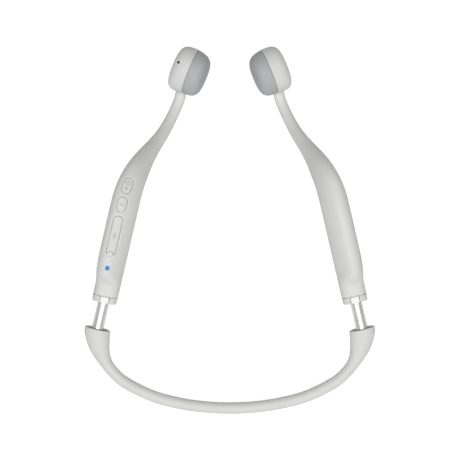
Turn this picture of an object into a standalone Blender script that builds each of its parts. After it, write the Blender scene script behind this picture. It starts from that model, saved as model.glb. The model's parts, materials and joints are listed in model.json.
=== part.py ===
"""Bone conduction headphones, lying on a table with the control buttons up.

The object is described in millimetres in its own plane: x to the side, v from the neckband towards the
pods, and w out of the plane, on the side of the buttons. An empty leans that plane on the table, because the
neckband and the two ear hooks touch it. The wearer's right is at -x. Each arm is described once, for +x, in
its own directions: out (away from the head), along (up the steel rod towards the housing) and w.
"""

import math
from bisect import bisect_right

import bmesh
import bpy
from mathutils import Matrix, Vector

MM = 0.001
GAP = 0.3
SIDES = {"left": 1, "right": -1}

# The plane of the neckband leans by this angle, so that the ear hooks reach the table.
PLANE_LEAN = math.radians(11.92)

# Neckband: half of its centre line, from the middle to the mouth of the sleeve: x, v, width, height.
# It is cut at the knuckle: a ball on the sleeve turns in a cup at the end of the band.
BAND_LINE = [
    (0.0, -1.44, 5.2, 5.4),
    (11.25, -0.92, 5.2, 5.4),
    (22.8, 0.76, 5.2, 5.4),
    (34.9, 4.05, 5.2, 5.4),
    (46.9, 9.97, 5.2, 5.4),
    (52.2, 14.36, 5.1, 5.3),
    (56.3, 19.8, 5.8, 5.6),
    (58.9, 26.2, 9.0, 7.2),
    (60.0, 32.0, 11.5, 9.1),
    (59.75, 35.08, 11.7, 9.6),
]
KNUCKLE_ROW = 5
BAND_SIDES = 14
BAND_POWERS = (2.0, 2.0)
BALL_R = 2.52
BALL_EDGE = math.radians(44)
CUP_R = 2.85
BORE = (0.9, 1.6)
SLEEVE_WALL = 1.0

# Arm: the rod's axis starts at the middle of the sleeve's mouth and leans inwards.
ROD_LEAN = math.radians(13.1)
MOUTH = Vector((59.75, 35.08, 0.0))
ROD_R = 2.65
ROD_BORE_R = 1.7
ROD_BOTTOM = -4.2
ROD_TOP = 20.0

# Housing and ear hook: along, out, w, width, height, and how far the crown stands outwards of the middle.
ARM_LINE = [
    (12.4, -0.20, 0.0, 11.1, 9.5, 0.5),
    (15.6, -0.17, 0.0, 11.3, 9.6, 0.5),
    (19.0, -0.16, 0.0, 11.3, 9.6, 0.55),
    (20.9, -0.15, 0.0, 11.38, 9.9, 0.6),
    (24.0, -0.02, 0.0, 11.7, 13.3, 0.8),
    (26.6, 0.22, 0.0, 12.25, 14.3, 0.95),
    (30.6, 0.38, 0.0, 12.6, 14.4, 1.0),
    (34.0, 0.43, 0.0, 12.7, 14.4, 1.0),
    (45.0, 0.41, 0.0, 12.7, 14.4, 1.0),
    (55.5, 0.36, -0.05, 12.7, 14.3, 1.0),
    (62.1, 0.27, -0.8, 12.5, 14.0, 1.0),
    (67.7, -0.3, -2.3, 11.9, 13.4, 0.95),
    (73.3, -1.4, -5.6, 10.8, 12.2, 0.85),
    (79.2, -3.02, -11.2, 8.9, 10.2, 0.6),
    (85.3, -5.28, -17.2, 7.1, 7.8, 0.3),
    (91.6, -7.72, -22.3, 6.0, 6.4, 0.1),
    (97.8, -9.46, -26.0, 5.4, 5.7, 0.0),
    (103.9, -10.79, -28.4, 5.2, 5.5, 0.0),
    (109.5, -11.62, -29.4, 5.2, 5.4, 0.0),
    (112.8, -11.57, -28.5, 5.0, 5.2, 0.0),
    (115.4, -10.96, -26.6, 4.75, 5.0, 0.0),
]
# How boxy the sections are: the housing, its inner flank and the hook.
ARM_POWER = 2.8
FLANK_POWER = 1.65
HOOK_POWER = 2.3
SHELL_WALL = 1.2
CAP_START, CAP_END = 12.4, 15.3
GUIDE_R = 3.6
KEY_INNER, KEY_OUTER = -2.4, 1.5
HOOK_END = 115.4

# Pod: its middle in arm directions, its lean against the rod, how far its top tilts outwards, and its half
# sizes: towards the head, front, height. The head's side is shorter at the front, the outer side longer at
# the rear.
POD_MIDDLE = Vector((-13.83, 122.95, -20.7))
POD_LEAN = math.radians(9.4)
POD_TILT = math.radians(4.6)
POD_HALF = (8.0, 10.6, 10.0)
POD_POWER = 3.9
POD_OVAL_POWERS = (2.2, 2.2)
POD_WALL = 1.3
SEAM = 0.45
FRONT_CUT = 0.13
REAR_GROW = 0.09

# Controls on the crown of the right housing: place along the arm, length and width of the opening.
POWER_AT, POWER_SIZE = 64.65, (7.8, 4.7)
VOLUME_AT, VOLUME_SIZE = 57.05, (7.5, 4.7)
COVER_AT, COVER_SIZE = 43.25, (18.4, 4.6)
COVER_HINGE = 49.6
BUTTON_TRAVEL = 0.4
BUTTON_FLANGE = 1.0
BUTTON_FOOT = 3.1
BOARD_TOP, BOARD_BOTTOM = 0.4, -0.4
LED_AT, LED_R = 28.46, 0.8
MIC_AT = (-5.25, 1.5)
MIC_R = 0.6

COLOURS = {
    "shell_grey": ((0.62, 0.62, 0.60), 0.62, 0.0),
    "silicone_grey": ((0.60, 0.60, 0.58), 0.70, 0.0),
    "pad_grey": ((0.30, 0.31, 0.32), 0.60, 0.0),
    "rod_steel": ((0.75, 0.75, 0.74), 0.22, 1.0),
    "guide_white": ((0.90, 0.90, 0.88), 0.45, 0.0),
    "seal_black": ((0.03, 0.03, 0.03), 0.70, 0.0),
    "spring_alloy": ((0.55, 0.55, 0.57), 0.35, 1.0),
    "cable_jacket": ((0.05, 0.05, 0.06), 0.60, 0.0),
    "plated_steel": ((0.65, 0.66, 0.68), 0.30, 1.0),
    "magnet_nickel": ((0.70, 0.70, 0.72), 0.25, 1.0),
    "coil_copper": ((0.80, 0.42, 0.22), 0.35, 1.0),
    "board_green": ((0.03, 0.16, 0.08), 0.50, 0.0),
    "chassis_black": ((0.04, 0.04, 0.045), 0.55, 0.0),
    "battery_foil": ((0.70, 0.71, 0.73), 0.35, 0.6),
    "led_blue": ((0.05, 0.30, 0.75), 0.25, 0.0),
    "mesh_black": ((0.01, 0.01, 0.01), 0.80, 0.0),
}


def smooth(rows, key):
    """The rest of a table's row at a value of its first column, on a smooth curve through the rows."""
    last = len(rows) - 1
    low = min(max(bisect_right([row[0] for row in rows], key) - 1, 0), last - 1)
    span = rows[low + 1][0] - rows[low][0]
    t = (key - rows[low][0]) / span

    def slope(row, column):
        before, after = rows[max(row - 1, 0)], rows[min(row + 1, last)]
        return (after[column] - before[column]) / (after[0] - before[0])

    found = []
    for column in range(1, len(rows[0])):
        value = rows[low][column] * (2 * t**3 - 3 * t**2 + 1)
        value += rows[low + 1][column] * (3 * t**2 - 2 * t**3)
        value += slope(low, column) * span * (t**3 - 2 * t**2 + t)
        value += slope(low + 1, column) * span * (t**3 - t**2)
        found.append(value)
    return found


def spread(first, last, count):
    return [first + (last - first) * step / (count - 1) for step in range(count)]


def oval_point(angle, outer, inner, half, powers):
    """A point of an oval that reaches outer in +u, inner in -u and half in h, with a power for each side."""
    cosine, sine = math.cos(angle), math.sin(angle)
    power = powers[0] if cosine > 0 else powers[1]
    u = math.copysign(abs(cosine) ** (2 / power), cosine) * (outer if cosine > 0 else inner)
    return u, math.copysign(abs(sine) ** (2 / power), sine) * half


def oval(count, outer, inner, half, powers):
    return [oval_point(math.tau * step / count, outer, inner, half, powers) for step in range(count)]


def stadium(length, width, arc_steps=7):
    """The outline of a slot with round ends, along the first axis."""
    radius = width / 2
    outline = []
    for end in (1, -1):
        for angle in spread(-math.pi / 2, math.pi / 2, arc_steps):
            x = length / 2 - radius + radius * math.cos(angle)
            outline.append((end * x, end * radius * math.sin(angle)))
    return outline


# ---------------------------------------------------------------------------------------- building helpers


def clear_scene():
    for old in list(bpy.data.objects):
        bpy.data.objects.remove(old, do_unlink=True)


def new_collection(name):
    collection = bpy.data.collections.new(name)
    bpy.context.scene.collection.children.link(collection)
    return collection


def make_materials():
    made = {}
    for name, (colour, roughness, metallic) in COLOURS.items():
        material = bpy.data.materials.new(name)
        material.use_nodes = True
        shader = material.node_tree.nodes["Principled BSDF"]
        shader.inputs["Base Color"].default_value = (*colour, 1.0)
        shader.inputs["Roughness"].default_value = roughness
        shader.inputs["Metallic"].default_value = metallic
        made[name] = material
    return made


clear_scene()
PARTS = new_collection("bone_conduction_headphones")
CUTTERS = new_collection("cutters")
MATERIALS = make_materials()
BODIES = {}


def add_body(name, parent, pivot):
    """An empty on a moving piece's joint axis. pivot is in the plane's millimetres."""
    empty = bpy.data.objects.new(f"{name}_pivot", None)
    empty.empty_display_size = 0.005
    PARTS.objects.link(empty)
    if parent:
        empty.parent = BODIES[parent][0]
        empty.location = (pivot - BODIES[parent][1]) * MM
    BODIES[name] = (empty, pivot)


def add_object(name, mesh, body, colour=None):
    """Puts a mesh with points in the plane's millimetres on a body. Without a colour it is a cutter."""
    mesh.transform(Matrix.Scale(MM, 4) @ Matrix.Translation(-BODIES[body][1]))
    obj = bpy.data.objects.new(name, mesh)
    obj.parent = BODIES[body][0]
    if colour:
        PARTS.objects.link(obj)
        mesh.materials.append(MATERIALS[colour])
        mesh.shade_smooth()
        mesh.set_sharp_from_angle(angle=math.radians(35))
    else:
        CUTTERS.objects.link(obj)
        obj.hide_render = True
        obj.display_type = "WIRE"
    return obj


def finish_mesh(work, name, matrix=None):
    if matrix:
        bmesh.ops.transform(work, matrix=matrix, verts=work.verts)
    bmesh.ops.recalc_face_normals(work, faces=work.faces)
    mesh = bpy.data.meshes.new(name)
    work.to_mesh(mesh)
    work.free()
    return mesh


def loft(name, rings, closed=False, matrix=None):
    """A skin over rings of equal count. Closed, it joins its last ring to its first; open, it gets caps."""
    work = bmesh.new()
    rows = [[work.verts.new(point) for point in ring] for ring in rings]
    count = len(rows[0])
    pairs = list(zip(rows, rows[1:]))
    if closed:
        pairs.append((rows[-1], rows[0]))
    else:
        work.faces.new(rows[0])
        work.faces.new(rows[-1])
    for near, far in pairs:
        for step in range(count):
            following = (step + 1) % count
            work.faces.new((near[step], near[following], far[following], far[step]))
    return finish_mesh(work, name, matrix)


def prism(name, outline, bottom, top, matrix):
    """An outline in the frame's first two axes, extruded from bottom to top along its third."""
    work = bmesh.new()
    floor = work.faces.new([work.verts.new((x, y, bottom)) for x, y in outline])
    raised = bmesh.ops.extrude_face_region(work, geom=[floor])["geom"]
    lifted = [item for item in raised if isinstance(item, bmesh.types.BMVert)]
    bmesh.ops.translate(work, vec=(0, 0, top - bottom), verts=lifted)
    return finish_mesh(work, name, matrix)


def block(name, low, high, matrix, round_by=0.0):
    """A box between two corners of a frame."""
    work = bmesh.new()
    bmesh.ops.create_cube(work, size=1.0)
    size = Vector(high) - Vector(low)
    middle = (Vector(high) + Vector(low)) / 2
    stretch = Matrix.Translation(middle) @ Matrix.Diagonal((*size, 1))
    bmesh.ops.transform(work, matrix=stretch, verts=work.verts)
    if round_by:
        bmesh.ops.bevel(work, geom=work.edges, offset=round_by, segments=2, profile=0.5, affect="EDGES")
    return finish_mesh(work, name, matrix)


def rod(name, radius, start, end, matrix, sides=20):
    """A solid cylinder along the frame's third axis."""
    work = bmesh.new()
    bmesh.ops.create_cone(
        work, cap_ends=True, segments=sides, radius1=radius, radius2=radius, depth=end - start,
        matrix=Matrix.Translation((0, 0, (start + end) / 2)),
    )  # fmt: skip
    return finish_mesh(work, name, matrix)


def turned(name, profile, axis_frame, body, colour, steps=20):
    """A ring about the third axis. Its closed profile of (radius, height) runs down the outer side."""
    mesh = bpy.data.meshes.new(name)
    edges = [(step, (step + 1) % len(profile)) for step in range(len(profile))]
    mesh.from_pydata([(radius * MM, 0, height * MM) for radius, height in profile], edges, [])
    obj = bpy.data.objects.new(name, mesh)
    PARTS.objects.link(obj)
    obj.parent = BODIES[body][0]
    place = Matrix.Translation(-BODIES[body][1]) @ axis_frame
    place.translation *= MM
    obj.matrix_basis = place
    screw = obj.modifiers.new("turn", "SCREW")
    screw.steps = steps
    screw.render_steps = steps
    screw.use_merge_vertices = True
    screw.merge_threshold = 0.00001
    screw.use_smooth_shade = True
    mesh.materials.append(MATERIALS[colour])
    return obj


def wire(name, points, radius, body, colour):
    """A round wire through points in the plane's millimetres."""
    curve = bpy.data.curves.new(name, "CURVE")
    curve.dimensions = "3D"
    curve.bevel_depth = radius * MM
    curve.bevel_resolution = 2
    curve.use_fill_caps = True
    spline = curve.splines.new("POLY")
    spline.points.add(len(points) - 1)
    for place, point in zip(spline.points, points):
        place.co = (*((point - BODIES[body][1]) * MM), 1.0)
    curve.materials.append(MATERIALS[colour])
    obj = bpy.data.objects.new(name, curve)
    obj.parent = BODIES[body][0]
    PARTS.objects.link(obj)
    return obj


def combine(obj, other, operation):
    modifier = obj.modifiers.new(f"{operation.lower()}_{other.name}", "BOOLEAN")
    modifier.operation = operation
    modifier.solver = "EXACT"
    modifier.object = other


# ---------------------------------------------------------------------------------------- frames


def arm_frame(side):
    """Columns: out, along and w of an arm, from the middle of its sleeve's mouth."""
    out = Vector((side * math.cos(ROD_LEAN), math.sin(ROD_LEAN), 0))
    along = Vector((-side * math.sin(ROD_LEAN), math.cos(ROD_LEAN), 0))
    origin = Vector((side * MOUTH.x, MOUTH.y, 0))
    return Matrix.Translation(origin) @ Matrix((out, along, Vector((0, 0, 1)))).transposed().to_4x4()


def axis_frame(origin, direction, across):
    """A right-handed frame whose third axis is direction and whose first is close to across."""
    third = direction.normalized()
    second = third.cross(across).normalized()
    first = second.cross(third)
    return Matrix.Translation(origin) @ Matrix((first, second, third)).transposed().to_4x4()


def rod_frame(side):
    """The third axis runs up the rod from the sleeve's mouth."""
    frame = arm_frame(side)
    return axis_frame(frame.translation, frame.col[1].xyz, frame.col[0].xyz)


def pod_frame(side):
    """Columns: towards the head, towards the front, and height, from the pod's middle."""
    level = Vector((-math.cos(POD_LEAN), -math.sin(POD_LEAN), 0))
    front = Vector((-math.sin(POD_LEAN), math.cos(POD_LEAN), 0))
    up = Vector((0, 0, 1))
    head = level * math.cos(POD_TILT) + up * math.sin(POD_TILT)
    height = up * math.cos(POD_TILT) - level * math.sin(POD_TILT)
    local = Matrix.Translation(POD_MIDDLE) @ Matrix((head, front, height)).transposed().to_4x4()
    return arm_frame(side) @ local


def transducer_frame(side):
    """The third axis points towards the head."""
    frame = pod_frame(side)
    return axis_frame(frame.translation, frame.col[0].xyz, frame.col[1].xyz)


def arm_station(along):
    """Middle, u (across, outwards), h (towards the crown) and section of the arm, in arm directions."""
    out, height_at, width, height, lean = smooth(ARM_LINE, along)
    before, after = smooth(ARM_LINE, along - 0.5), smooth(ARM_LINE, along + 0.5)
    tangent = Vector((after[0] - before[0], 1.0, after[1] - before[1])).normalized()
    u = Vector((tangent.y, -tangent.x, 0)).normalized()
    h = u.cross(tangent)
    middle = Vector((out, along, height_at)) + u * lean
    return middle, u, h, (width / 2 - lean, width / 2 + lean, height / 2)


def ease(value, start, end):
    """0 before start, 1 after end, and a smooth rise between them."""
    part = min(max((value - start) / (end - start), 0.0), 1.0)
    return part * part * (3 - 2 * part)


def arm_powers(along):
    """The powers of the section, outside and inside: the inner flank slopes, and the hook is rounder."""
    hook = (HOOK_POWER - ARM_POWER) * ease(along, 76.0, 92.0)
    flank = (FLANK_POWER - ARM_POWER) * ease(along, 19.0, 27.0) * (1 - ease(along, 72.0, 92.0))
    return ARM_POWER + hook, ARM_POWER + hook + flank


def arm_ring(along, section):
    middle, u, h, _ = arm_station(along)
    return [middle + u * x + h * y for x, y in section]


def crown(along):
    middle, _, h, (_, _, half) = arm_station(along)
    return middle + h * half


def crown_frame(along, side, reach=3.0):
    """A frame on the housing's crown: along, across and outwards through the surface."""
    direction = (crown(along + reach) - crown(along - reach)).normalized()
    across = Vector((1, 0, 0))
    normal = across.cross(direction).normalized()
    across = direction.cross(normal)
    local = Matrix.Translation(crown(along)) @ Matrix((direction, across, normal)).transposed().to_4x4()
    return arm_frame(side) @ local


# ---------------------------------------------------------------------------------------- neckband


def band_rows():
    """The whole centre line, from one mouth to the other: length from the middle, x, v, width, height."""
    half = [(0.0, *BAND_LINE[0])]
    for before, row in zip(BAND_LINE, BAND_LINE[1:]):
        step = math.hypot(row[0] - before[0], row[1] - before[1])
        half.append((half[-1][0] + step, *row))
    mirrored = [(-length, -x, v, width, height) for length, x, v, width, height in reversed(half[1:])]
    return mirrored + half


BAND_ROWS = band_rows()
KNUCKLE_LENGTH = BAND_ROWS[len(BAND_LINE) - 1 + KNUCKLE_ROW][0]
MOUTH_LENGTH = BAND_ROWS[-1][0]
KNUCKLE = Vector((BAND_LINE[KNUCKLE_ROW][0], BAND_LINE[KNUCKLE_ROW][1], 0))


def band_station(length):
    """Middle, direction and section of the band. Near the mouths the section turns square to the rod."""
    x, v, width, height = smooth(BAND_ROWS, length)
    before, after = smooth(BAND_ROWS, length - 0.5), smooth(BAND_ROWS, length + 0.5)
    tangent = Vector((after[0] - before[0], after[1] - before[1], 0)).normalized()
    turn = min(max((abs(length) - MOUTH_LENGTH + 12.0) / 12.0, 0.0), 1.0)
    if turn:
        side = math.copysign(1, length)
        towards = Vector((-math.sin(ROD_LEAN), side * math.cos(ROD_LEAN), 0))
        tangent = tangent.lerp(towards, turn * turn * (3 - 2 * turn)).normalized()
    return Vector((x, v, 0)), tangent, (width / 2, height / 2)


def band_ring(length, section, push=0.0):
    middle, tangent, _ = band_station(length)
    across = Vector((tangent.y, -tangent.x, 0))
    return [middle + tangent * push + across * x + Vector((0, 0, y)) for x, y in section]


def band_section(length, shrink=0.0, scale=1.0):
    _, _, (half_width, half_height) = band_station(length)
    across, up = (half_width - shrink) * scale, (half_height - shrink) * scale
    return oval(BAND_SIDES, across, across, up, BAND_POWERS)


def bore_section():
    return oval(BAND_SIDES, BORE[0], BORE[0], BORE[1], BAND_POWERS)


def neckband_cover():
    """The silicone tube between the knuckles. Each end is a hollow cup for the sleeve's ball."""
    half_width = BAND_LINE[KNUCKLE_ROW][2] / 2
    rim = KNUCKLE_LENGTH - math.sqrt(CUP_R**2 - half_width**2)
    outer = [band_ring(length, band_section(length)) for length in spread(-rim, rim, 17)]
    cup = []
    for radius in (2.25, 1.85):
        push = math.sqrt(CUP_R**2 - radius**2)
        cup.append((push, band_section(KNUCKLE_LENGTH, scale=radius / half_width)))
    cup.append((2.62, bore_section()))
    far_cup = [band_ring(KNUCKLE_LENGTH, section, -push) for push, section in cup]
    near_cup = [band_ring(-KNUCKLE_LENGTH, section, push) for push, section in cup]
    bore_end = KNUCKLE_LENGTH - 6.0
    bore = [band_ring(length, bore_section()) for length in spread(bore_end, -bore_end, 9)]
    rings = outer + far_cup + bore + near_cup[::-1]
    return add_object("neckband_cover", loft("neckband_cover", rings, closed=True), "band", "silicone_grey")


def wire_path(offset, top):
    """Along the band, through both sleeves and up each rod to a height of top above its mouth."""
    lift = Vector((0, 0, offset))
    half = [band_station(length)[0] + lift for length in spread(0.0, MOUTH_LENGTH - 11.0, 14)]
    frame = arm_frame(1)
    for along in (-4.0, -1.5, top):
        half.append(frame @ Vector((0, along, offset)))
    mirrored = [Vector((-point.x, point.y, point.z)) for point in reversed(half[1:])]
    return mirrored + half


def band_sleeve(side, word):
    """The horn at the end of the band: a ball at the knuckle, an open mouth around the rod."""
    start, end = side * KNUCKLE_LENGTH, side * MOUTH_LENGTH
    ball = []
    for lean in (BALL_EDGE, math.radians(24)):
        section = band_section(start, scale=BALL_R * math.cos(lean) / (BAND_LINE[KNUCKLE_ROW][2] / 2))
        ball.append(band_ring(start, section, -side * BALL_R * math.sin(lean)))
    outer = [band_ring(start + (end - start) * part, band_section(start + (end - start) * part))
             for part in (0, 0.15, 0.3, 0.42, 0.54, 0.66, 0.8, 0.92, 1)]  # fmt: skip
    inner = []
    for depth, wall in ((0.0, SLEEVE_WALL), (2.5, SLEEVE_WALL), (6.0, 1.1), (9.0, 1.5)):
        length = end - side * depth
        inner.append(band_ring(length, band_section(length, shrink=wall)))
    for depth in (13.0, 17.0):
        inner.append(band_ring(end - side * depth, bore_section()))
    inner.append(band_ring(start, bore_section(), -side * BALL_R * math.sin(BALL_EDGE)))
    name = f"{word}_band_sleeve"
    skin = loft(name, ball + outer + inner, closed=True)
    sleeve = add_object(name, skin, f"{word}_sleeve", "silicone_grey")
    hole = rod(f"{word}_rod_hole", ROD_R + GAP, ROD_BOTTOM - GAP, 3.0, rod_frame(side))
    combine(sleeve, add_object(f"{word}_rod_hole", hole, f"{word}_sleeve"), "DIFFERENCE")


def rod_seal(side, word):
    """A black rubber ring that closes the mouth around the rod."""
    outer = []
    for depth in (1.6, 3.4):
        length = side * (MOUTH_LENGTH - depth)
        outer.append(band_ring(length, band_section(length, shrink=SLEEVE_WALL + GAP)))
    name = f"{word}_rod_seal"
    seal = add_object(name, loft(name, outer), f"{word}_sleeve", "seal_black")
    hole = rod(f"{word}_seal_hole", ROD_R + GAP, -8.0, 8.0, rod_frame(side))
    combine(seal, add_object(f"{word}_seal_hole", hole, f"{word}_sleeve"), "DIFFERENCE")


def slide_rod(side, word):
    """A steel tube with a retaining ring in a groove near its upper end."""
    neck = 2.25
    profile = [
        (ROD_BORE_R, ROD_TOP), (ROD_R, ROD_TOP), (ROD_R, 19.2), (neck, 19.2),
        (neck, 18.2), (ROD_R, 18.2), (ROD_R, ROD_BOTTOM), (ROD_BORE_R, ROD_BOTTOM),
    ]  # fmt: skip
    turned(f"{word}_slide_rod", profile, rod_frame(side), f"{word}_sleeve", "rod_steel")
    ring = [(2.55, 19.0), (3.3, 19.0), (3.3, 18.4), (2.55, 18.4)]
    turned(f"{word}_rod_stop", ring, rod_frame(side), f"{word}_sleeve", "plated_steel")


# ---------------------------------------------------------------------------------------- arms


def end_cap(side, word):
    """The cap that the rod slides through, with a notch in its crown for the white guide."""
    rings = []
    for along, pull in ((CAP_START, 0.25), (CAP_START + 1.2, 0.0), (CAP_END, 0.0)):
        _, _, _, (outer, inner, half) = arm_station(along)
        section = oval(20, outer - pull, inner - pull, half - pull, arm_powers(along))
        rings.append(arm_ring(along, section))
    name = f"{word}_end_cap"
    cap = add_object(name, loft(name, rings, matrix=arm_frame(side)), f"{word}_arm", "shell_grey")
    bore = rod(f"{word}_cap_bore", GUIDE_R + GAP, 10.0, 18.0, rod_frame(side))
    combine(cap, add_object(f"{word}_cap_bore", bore, f"{word}_arm"), "DIFFERENCE")
    low, high = (KEY_INNER - GAP, 10.0, 1.0), (KEY_OUTER + GAP, 18.0, 7.0)
    notch = block(f"{word}_cap_notch", low, high, arm_frame(side))
    combine(cap, add_object(f"{word}_cap_notch", notch, f"{word}_arm"), "DIFFERENCE")


def slide_guide(side, word):
    """A white bushing around the rod, with a key that shows flush in the cap's notch."""
    name = f"{word}_slide_guide"
    start = CAP_START + 0.1
    guide = add_object(name, rod(name, GUIDE_R, start, 17.6, rod_frame(side)), f"{word}_arm", "guide_white")
    low, high = (KEY_INNER, start, 2.4), (KEY_OUTER, CAP_END - 0.1, 4.6)
    key = block(f"{word}_guide_key", low, high, arm_frame(side), round_by=0.15)
    combine(guide, add_object(f"{word}_guide_key", key, f"{word}_arm"), "UNION")
    bore = rod(f"{word}_guide_bore", ROD_R + GAP, 10.0, 20.0, rod_frame(side))
    combine(guide, add_object(f"{word}_guide_bore", bore, f"{word}_arm"), "DIFFERENCE")


SHELL_STATIONS = (15.6, 19.0, 20.9, 22.5, 24.0, 26.0, 28.5, 32.0, 45.0, 56.5, 62.0, 66.5, 70.0, 73.0)


def half_section(along, direction, count=11):
    """A C-shaped section: the outer wall of one half of the housing and, back again, its inner wall."""
    _, _, _, (outer, inner, half) = arm_station(along)
    edge = GAP / 2
    section = []
    for shrink, angles in ((0.0, spread(0, math.pi, count)), (SHELL_WALL, spread(math.pi, 0, count))):
        for angle in angles:
            u, h = oval_point(angle, outer - shrink, inner - shrink, half - shrink, arm_powers(along))
            section.append((u, direction * max(h, edge)))
    return section


def housing_shell(side, word, which, direction):
    rings = [arm_ring(along, half_section(along, direction)) for along in SHELL_STATIONS]
    name = f"{word}_housing_{which}"
    return add_object(name, loft(name, rings, matrix=arm_frame(side)), f"{word}_arm", "shell_grey")


HOOK_SIDES = 14
HOOK_STATIONS = (73.3, 76.5, 79.3, 82.3, 85.4, 88.5, 91.7, 95.0, 98.5, 102.0, 105.5, 108.5, 111.0, 113.2,
                 HOOK_END)  # fmt: skip


def hook_section(along, grow=0.0):
    _, _, _, (outer, inner, half) = arm_station(along)
    return oval(HOOK_SIDES, outer + grow, inner + grow, half + grow, arm_powers(along))


def ear_hook(side, word):
    """The silicone hook over the ear, with a bore for its spring wire and its leads."""
    outer = [arm_ring(along, hook_section(along)) for along in HOOK_STATIONS]
    bore = oval(HOOK_SIDES, 1.65, 1.65, 1.0, BAND_POWERS)
    inner = [arm_ring(along, bore) for along in HOOK_STATIONS[::-1]]
    name = f"{word}_ear_hook"
    skin = loft(name, outer + inner, closed=True, matrix=arm_frame(side))
    add_object(name, skin, f"{word}_arm", "silicone_grey")
    for piece, offset, radius, start, end, colour in (
        ("hook_wire", -0.7, 0.5, 72.0, HOOK_END + 0.3, "spring_alloy"),
        ("hook_lead", 0.7, 0.45, 71.0, HOOK_END + 0.6, "cable_jacket"),
    ):
        points = []
        for along in spread(start, end, 17):
            middle, u, _, _ = arm_station(along)
            points.append(arm_frame(side) @ (middle + u * offset))
        wire(f"{word}_{piece}", points, radius, f"{word}_arm", colour)


def pod_ring(reach, wall=0.0):
    """A ring of the pod at a share of its depth from -1, outside, to 1, at the head. wall shrinks it."""
    depth, length, height = (half - wall for half in POD_HALF)
    share = (1 - abs(reach) ** POD_POWER) ** (1 / POD_POWER)
    front_end = 1 - FRONT_CUT * max(reach, 0)
    rear_end = 1 + REAR_GROW * max(-reach, 0)
    ring = []
    for front, up in oval(22, front_end, rear_end, 1.0, POD_OVAL_POWERS):
        ring.append(Vector((reach * depth, front * length * share, up * height * share)))
    return ring


def pod_half(direction):
    """The outer and inner rings of one half of the pod, from the seam to the floor and back."""
    edge = SEAM + direction * GAP / 2
    reaches = [direction * math.sin(math.radians(angle)) ** (2 / POD_POWER) for angle in (18, 40, 60, 76)]
    outer = [pod_ring(reach) for reach in [edge / POD_HALF[0]] + reaches]
    inner = [pod_ring(reach, POD_WALL) for reach in reaches[::-1] + [edge / (POD_HALF[0] - POD_WALL)]]
    return outer, inner


def cup(name, outer, inner, matrix):
    """A cup: an outer skin, an inner skin and a lip, each skin closed by its own floor."""
    work = bmesh.new()
    rows = [[work.verts.new(point) for point in ring] for ring in outer + inner]
    count = len(rows[0])
    pairs = [pair for pair in zip(rows, rows[1:]) if pair[0] is not rows[len(outer) - 1]]
    pairs.append((rows[-1], rows[0]))
    work.faces.new(rows[len(outer) - 1])
    work.faces.new(rows[len(outer)])
    for near, far in pairs:
        for step in range(count):
            following = (step + 1) % count
            work.faces.new((near[step], near[following], far[following], far[step]))
    return finish_mesh(work, name, matrix)


def pod(side, word):
    """The pod's light shell and dark contact pad, each relieved where the hook enters."""
    buried = (104.0, 107.0, 110.0, 112.0, 113.8, HOOK_END + 1.0)
    hook = [arm_ring(along, hook_section(along, grow=GAP)) for along in buried]
    hole = loft(f"{word}_hook_hole", hook, matrix=arm_frame(side))
    clearance = add_object(f"{word}_hook_hole", hole, f"{word}_arm")
    for name, direction, colour in (("pod_shell", -1, "shell_grey"), ("contact_pad", 1, "pad_grey")):
        outer, inner = pod_half(direction)
        full = f"{word}_{name}"
        half = add_object(full, cup(full, outer, inner, pod_frame(side)), f"{word}_arm", colour)
        combine(half, clearance, "DIFFERENCE")


def transducer(side, word):
    """The driver in the pod: a steel cup, a magnet hung on a spring plate, a coil and the contact plate."""
    frame, arm = transducer_frame(side), f"{word}_arm"
    cup_profile = [(6.2, 2.6), (6.9, 2.6), (6.9, -3.6), (1.2, -3.6), (1.2, -2.9), (6.2, -2.9)]
    turned(f"{word}_transducer_frame", cup_profile, frame, arm, "plated_steel")
    magnet = rod(f"{word}_transducer_magnet", 4.0, -2.4, 0.9, frame, sides=24)
    add_object(f"{word}_transducer_magnet", magnet, f"{word}_driver", "magnet_nickel")
    coil_profile = [(4.5, 1.9), (5.4, 1.9), (5.4, -1.6), (4.5, -1.6)]
    turned(f"{word}_voice_coil", coil_profile, frame, arm, "coil_copper")
    spring_profile = [(1.5, 3.2), (6.9, 3.2), (6.9, 2.95), (1.5, 2.95)]
    turned(f"{word}_spring_plate", spring_profile, frame, arm, "plated_steel")
    plate = rod(f"{word}_contact_plate", 6.4, 4.3, 5.3, frame, sides=24)
    add_object(f"{word}_contact_plate", plate, arm, "plated_steel")


# ---------------------------------------------------------------------------------------- right arm only


def cut_controls(shell):
    """The openings in the right housing's crown, with a cutter for each."""
    openings = (
        ("power_opening", stadium(*POWER_SIZE), POWER_AT),
        ("volume_opening", stadium(*VOLUME_SIZE), VOLUME_AT),
        ("cover_opening", stadium(*COVER_SIZE), COVER_AT),
        ("led_opening", stadium(2 * (LED_R + GAP), 2 * (LED_R + GAP) - 0.01), LED_AT),
    )
    for name, outline, at in openings:
        opening = prism(name, outline, -3.2, 2.5, crown_frame(at, SIDES["right"]))
        combine(shell, add_object(name, opening, "right_arm"), "DIFFERENCE")


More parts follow.
